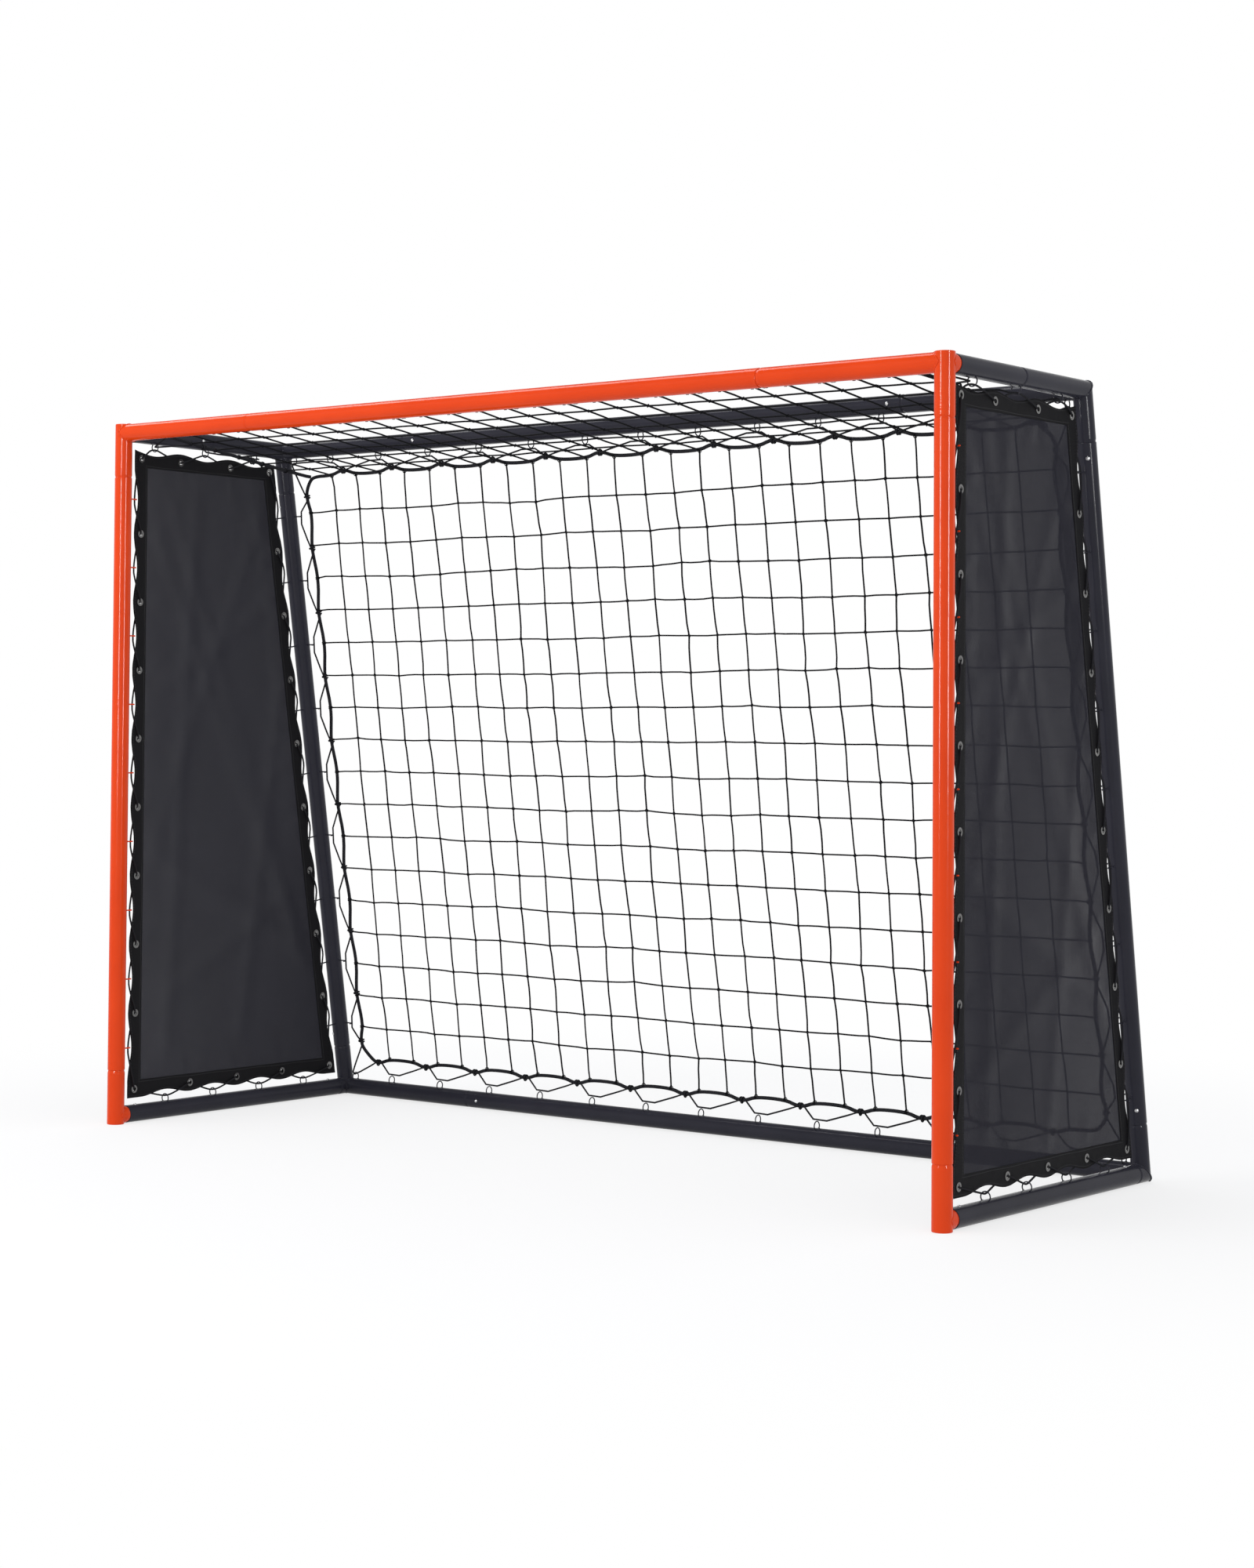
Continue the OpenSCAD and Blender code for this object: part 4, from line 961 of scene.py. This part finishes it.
# ---------------- side panels
# Two sheets of coated mesh fabric, one at each side, cut to the side frame's shape and stretched
# by their lacing. The coating is dull charcoal, open in tiny holes, and creased from its packing.
PANEL = np.array([[FRONT_Y, BASE_Z], [FRONT_Y, TOP_Z], [REAR_TOP_Y, TOP_Z], [REAR_BASE_Y, BASE_Z]])
HOLDS = [FRONT_UPS, TOP_LOOPS, REAR_UPS, BASE_LOOPS]
HEM_EDGE, HEM_W, HEM_T, SCALLOP, HEM_STEP = 0.043, 0.050, 0.004, 0.014, 0.012
SHEET_EDGE = HEM_EDGE + HEM_W - 0.012
GROMMET_MID = HEM_EDGE + HEM_W / 2
PUNCH_R, PUNCH_SIDES, PUNCH_OUT = 0.0069, 16, 0.006
THREAD, RIB = 0.0022, 0.003
STITCH_STEP, STITCH_CLEAR = 0.0078, 0.0125
FACE, RIM = HEM_T / 2 + LACE_R + 0.0003, HEM_T / 2 + LACE_R + 0.0019


def side_dir(i):
    return unit(PANEL[(i + 1) % 4] - PANEL[i % 4])


def side_in(i):
    d = side_dir(i)
    return np.array([d[1], -d[0]])


def inset(i, w):
    """The point that lies w inside both sides that meet at corner i."""
    m, n = side_in(i - 1), side_in(i)
    return PANEL[i % 4] + w / (m[0] * n[1] - m[1] * n[0]) * np.array([n[1] - m[1], m[0] - n[0]])


def beside(i, along, w):
    return PANEL[i % 4] + along * side_dir(i) + w * side_in(i)


def on_side(points, side):
    """Points given back, up and outwards from a side's plane, in the row frame."""
    p = np.asarray(points, float)
    return np.stack([side * (HALF_W + p[:, 2]), p[:, 0], p[:, 1]], 1)


sheet_corners = np.array([inset(i, SHEET_EDGE) for i in range(4)])
grommets = []
for i in range(4):
    grommets.append(inset(i, GROMMET_MID))
    for a, b in zip(HOLDS[i], HOLDS[i][1:]):
        grommets.append(beside(i, (a + b) / 2, GROMMET_MID))
grommets = np.array(grommets)

mesh_fabric, tree, sockets = new_finish("charcoal_mesh_fabric", specular=0.03)
parts = add_node(tree, "ShaderNodeSeparateXYZ", {}, {
    0: add_node(tree, "ShaderNodeUVMap", {"uv_map": "cloth"})})
across, down = ((parts[axis] * (2 * math.pi / THREAD)).maths("SINE") for axis in "XY")
yarn = (across * down) * 0.5 + 0.5
blotch = grain(tree, 3.0, 3.0)
sockets(
    Base_Color=mixed(tree, yarn * 0.5 + blotch * 0.5,
                     rgb(0.019, 0.0186, 0.0248), rgb(0.037, 0.0362, 0.0477)),
    Roughness=0.45 + 0.2 * blotch,
    Alpha=add_node(tree, "ShaderNodeMapRange", {}, {
        "Value": yarn, "From Min": 0.25, "From Max": 0.5, "To Min": 0.34, "To Max": 1.0}),
    Normal=bumped(tree, yarn, 0.0004),
)

rng = np.random.default_rng(11)
creases = rng.random((9, 4))


def billow(p, side):
    """How far the sheet stands out of its plane: broad slack, packing folds and short pulls
    that run in from the grommets."""
    y, z = p[..., 0], p[..., 1]
    lift = 0.0035 * np.sin(2.3 * z + 1.1 * side) * np.sin(4.2 * (y + 0.4)) - 0.001
    for c in creases:
        turn = c[0] * math.pi
        where = (y - (c[1] - 0.5) * 0.8) * math.cos(turn) + (z - 0.2 - 1.5 * c[2]) * math.sin(turn)
        lift += (0.0006 + 0.0006 * c[3]) * np.exp(-(where / 0.03) ** 2) * side
    for g in grommets:
        r = np.linalg.norm(p - g, axis=-1) + 1e-6
        turn = np.arctan2(z - g[1], y - g[0])
        lift += 0.0016 * np.sin(5 * turn + 3 * g[1]) * np.exp(-(r / 0.075) ** 2) * (r > 0.03)
    return lift


def panel_sheet(name, side):
    """The sheet as a grid over its four corners, with its lift fading into the hem."""
    nu, nv = 44, 96
    s, t = (share[..., None] for share in np.meshgrid(np.linspace(0, 1, nu), np.linspace(0, 1, nv)))
    a, b, c, d = sheet_corners
    flat = (1 - s) * (1 - t) * a + (1 - s) * t * b + s * t * c + s * (1 - t) * d
    rim = np.minimum(np.minimum(s, 1 - s) * 8, np.minimum(t, 1 - t) * 16).clip(0, 1)
    points = np.concatenate([flat, billow(flat, side)[..., None] * rim], -1).reshape(-1, 3)
    faces = []
    for j in range(nv - 1):
        for i in range(nu - 1):
            face = [j * nu + i, j * nu + i + 1, (j + 1) * nu + i + 1, (j + 1) * nu + i]
            faces.append(face if side > 0 else face[::-1])
    made = mapped(name, on_side(points, side), faces, mesh_fabric, "cloth",
                  flat.reshape(-1, 2)[np.array(faces)])
    wall = made.modifiers.new("thickness", "SOLIDIFY")
    wall.thickness, wall.offset = 0.0008, 0
    return made


webbing, tree, sockets = new_finish("black_hem_webbing", specular=0.06)
weave, worn = crossed_ribs(tree, 1 / RIB, 1 / RIB), grain(tree, 40.0, 3.0)
sockets(
    Base_Color=mixed(tree, weave * 0.6 + worn * 0.4,
                     rgb(0.0035, 0.0035, 0.004), rgb(0.013, 0.0126, 0.0145)),
    Roughness=0.5 + 0.2 * worn,
    Normal=bumped(tree, weave, 0.0005),
)


def hem_stations(step):
    """The hem's outer and inner edges, paired, all the way round, and how it puckers there."""
    outer, inner, puckers = [], [], []
    for i in range(4):
        a, b = inset(i, HEM_EDGE), inset(i + 1, HEM_EDGE)
        c, d = inset(i, HEM_EDGE + HEM_W), inset(i + 1, HEM_EDGE + HEM_W)
        low, high = ((q - PANEL[i % 4]) @ side_dir(i) for q in (a, b))
        half = (HOLDS[i][1] - HOLDS[i][0]) / 2
        n = round((high - low) / step)
        for j in range(n):
            along = low + (high - low) * j / n
            near = min(abs(h - along) for h in HOLDS[i]) / half
            depth = HEM_EDGE + SCALLOP * math.cos(math.pi / 2 * min(1, near)) ** 2
            outer.append(a if j == 0 else beside(i, along, depth))
            inner.append(c + (d - c) * j / n)
            puckers.append(math.cos(2 * math.pi * along / 0.031) * (0.4 + 0.6 * (near > 0.6)))
    return np.array(outer), np.array(inner), np.array(puckers)


def hem(name, side):
    """A folded strip: a rounded fold outside, two plies, and a puckered line near each edge."""
    outer, inner, puckers = hem_stations(HEM_STEP)
    ply = list(zip([0, 0.02, 0.06, 0.12, 0.2, 0.35, 0.5, 0.65, 0.8, 0.88, 0.94, 0.98, 1.0],
                   [0.15, 0.6, 0.9, 0.8, 1.0, 1.0, 1.0, 1.0, 1.0, 0.8, 0.95, 0.8, 0.5]))
    profile = ply + [(share, -thick) for share, thick in ply[::-1]]
    n, m = len(outer), len(profile)
    along = np.concatenate([[0], np.cumsum(np.linalg.norm(np.diff(outer, axis=0), axis=1))])
    along = np.append(along, along[-1] + HEM_STEP)
    points, faces, uvs = [], [], []
    for k in range(n):
        after = (k + 1) % n
        for j, (share, thick) in enumerate(profile):
            up = (j + 1) % m
            points.append([*(outer[k] + share * (inner[k] - outer[k])),
                           thick * HEM_T / 2 + 0.00025 * puckers[k] * (1 - share)])
            face = [k * m + j, k * m + up, after * m + up, after * m + j]
            low, high = share * HEM_W, profile[up][0] * HEM_W
            quad = [(low, along[k]), (high, along[k]), (high, along[k + 1]), (low, along[k + 1])]
            if side > 0:
                face, quad = ([v[0], *v[:0:-1]] for v in (face, quad))
            faces.append(face)
            uvs += quad
    return mapped(name, on_side(points, side), faces, webbing, "along", uvs)


def punched(piece, side):
    """Cuts the grommets' holes through a hem."""
    turns = np.linspace(0, 2 * math.pi, PUNCH_SIDES, endpoint=False)
    points, faces = [], []
    for g in grommets:
        low = list(range(len(points), len(points) + PUNCH_SIDES))
        high = [k + PUNCH_SIDES for k in low]
        for out in (-PUNCH_OUT, PUNCH_OUT):
            points += [[g[0] + PUNCH_R * math.cos(t), g[1] + PUNCH_R * math.sin(t), out]
                       for t in turns]
        faces += [low[::-1], high]
        faces += [list(quad) for quad in zip(low, low[1:] + low[:1], high[1:] + high[:1], high)]
    mesh = new_mesh("punches", on_side(points, side), faces)
    if side < 0:
        mesh.flip_normals()
    punches = in_scene("punches", mesh)
    cut = piece.modifiers.new("punched", "BOOLEAN")
    cut.operation, cut.solver, cut.object = "DIFFERENCE", "EXACT", punches
    settle(piece, cut)
    bpy.data.objects.remove(punches)
    return piece


stitch_thread, tree, sockets = new_finish("black_thread", specular=0.4)
ply = grain(tree, 1500.0, 1.0)
sockets(
    Base_Color=mixed(tree, ply, rgb(0.012, 0.012, 0.014), rgb(0.04, 0.04, 0.045)),
    Roughness=0.45 + 0.2 * ply,
    Normal=bumped(tree, ply, 0.0002),
)


def stitch(tree, given):
    """One sunk stitch: a flattened bead along x."""
    thread = given["Thread radius"]
    upright = changed(tree, ball(tree, 6, 4, thread), Rotation=(0.0, math.pi / 2, 0.0))
    return changed(tree, upright, Scale=add_node(tree, "ShaderNodeCombineXYZ", {}, {
        "X": given["Stitch length"] / thread * 0.5, "Y": 1.0, "Z": 0.8}))


sewn = instance_tree("hem_stitching", stitch_thread,
                     {"Thread radius": 0.0006, "Stitch length": 0.0052}, stitch)


def panel_lacing():
    """Down through a grommet, past a pin or through a loop, and on to the next grommet."""
    route = []

    def through(g, d):
        route.extend([[*(g - 0.004 * d), RIM], [*(g + 0.004 * d), -RIM]])

    for i in range(4):
        through(inset(i, GROMMET_MID), unit(side_dir(i - 1) + side_dir(i)))
        for j, along in enumerate(HOLDS[i]):
            if i % 2 == 0:
                route += [[*beside(i, along - 0.040, PIN_PASS), -FACE],
                          [*beside(i, along, PIN_PASS), PIN_SIDE]]
            else:
                route += [[*beside(i, along - 0.025, LOOP_PASS + 0.005), -FACE],
                          [*beside(i, along, LOOP_PASS), 0],
                          [*beside(i, along + 0.025, LOOP_PASS + 0.005), FACE]]
            if j + 1 < len(HOLDS[i]):
                through(beside(i, (along + HOLDS[i][j + 1]) / 2, GROMMET_MID), side_dir(i))
    return route


for side, word in ((-1, "left"), (1, "right")):
    sheet = panel_sheet(f"{word}_mesh_sheet", side)
    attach(sheet, "frame")
    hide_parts(f"{word}_panel_sheet")
    border = punched(hem(f"{word}_webbing_hem", side), side)
    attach(border, "frame")
    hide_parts(f"{word}_panel_hem")
    outer, inner, _ = hem_stations(STITCH_STEP)
    stitches = []
    for share in (0.12, 0.88):
        line = outer + share * (inner - outer)
        way = unit(np.roll(line, -1, 0) - np.roll(line, 1, 0))
        clear = np.min(np.linalg.norm(line[:, None] - grommets[None], axis=2), axis=1)
        for face in (-1, 1):
            stitches += [([*p, face * 0.8 * HEM_T / 2], [*w, 0], [0, 0, face])
                         for p, w, room in zip(line, way, clear) if room > STITCH_CLEAR]
    places, along, out = (on_side(v, side) for v in zip(*stitches))
    zero = on_side([[0, 0, 0]], side)
    seams = grown(f"{word}_hem_stitches", places, {"along": along - zero, "out": out - zero}, sewn)
    cord = swept(f"{word}_panel_lacing_cord", [on_side(eased(panel_lacing(), closed=True), side)],
                 LACE_R, lace_braid, closed=True)
    if side < 0:
        cord.data.flip_normals()
    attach(cord, "frame")
    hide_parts(f"{word}_panel_lacing")
    size = [float(sheet_corners[3][0] - sheet_corners[0][0]),
            float(sheet_corners[1][1] - sheet_corners[0][1])]

# ---------------- grommets
# Two-part pressed eyelets of bright nickel-plated brass, one at each place where the lacing goes
# through the hem, slightly scratched by the cord.
nickel, tree, sockets = new_finish("nickel_plate", metallic=1.0)
sockets(
    Base_Color=mixed(tree, grain(tree, 120.0), rgb(0.11, 0.109, 0.108), rgb(0.19, 0.188, 0.186)),
    Roughness=0.1 + 0.16 * grain(tree, 500.0, 3.0),
    Normal=bumped(tree, grain(tree, 1200.0, 1.0), 0.00003),
)
finished(nickel, "panel_grommets")
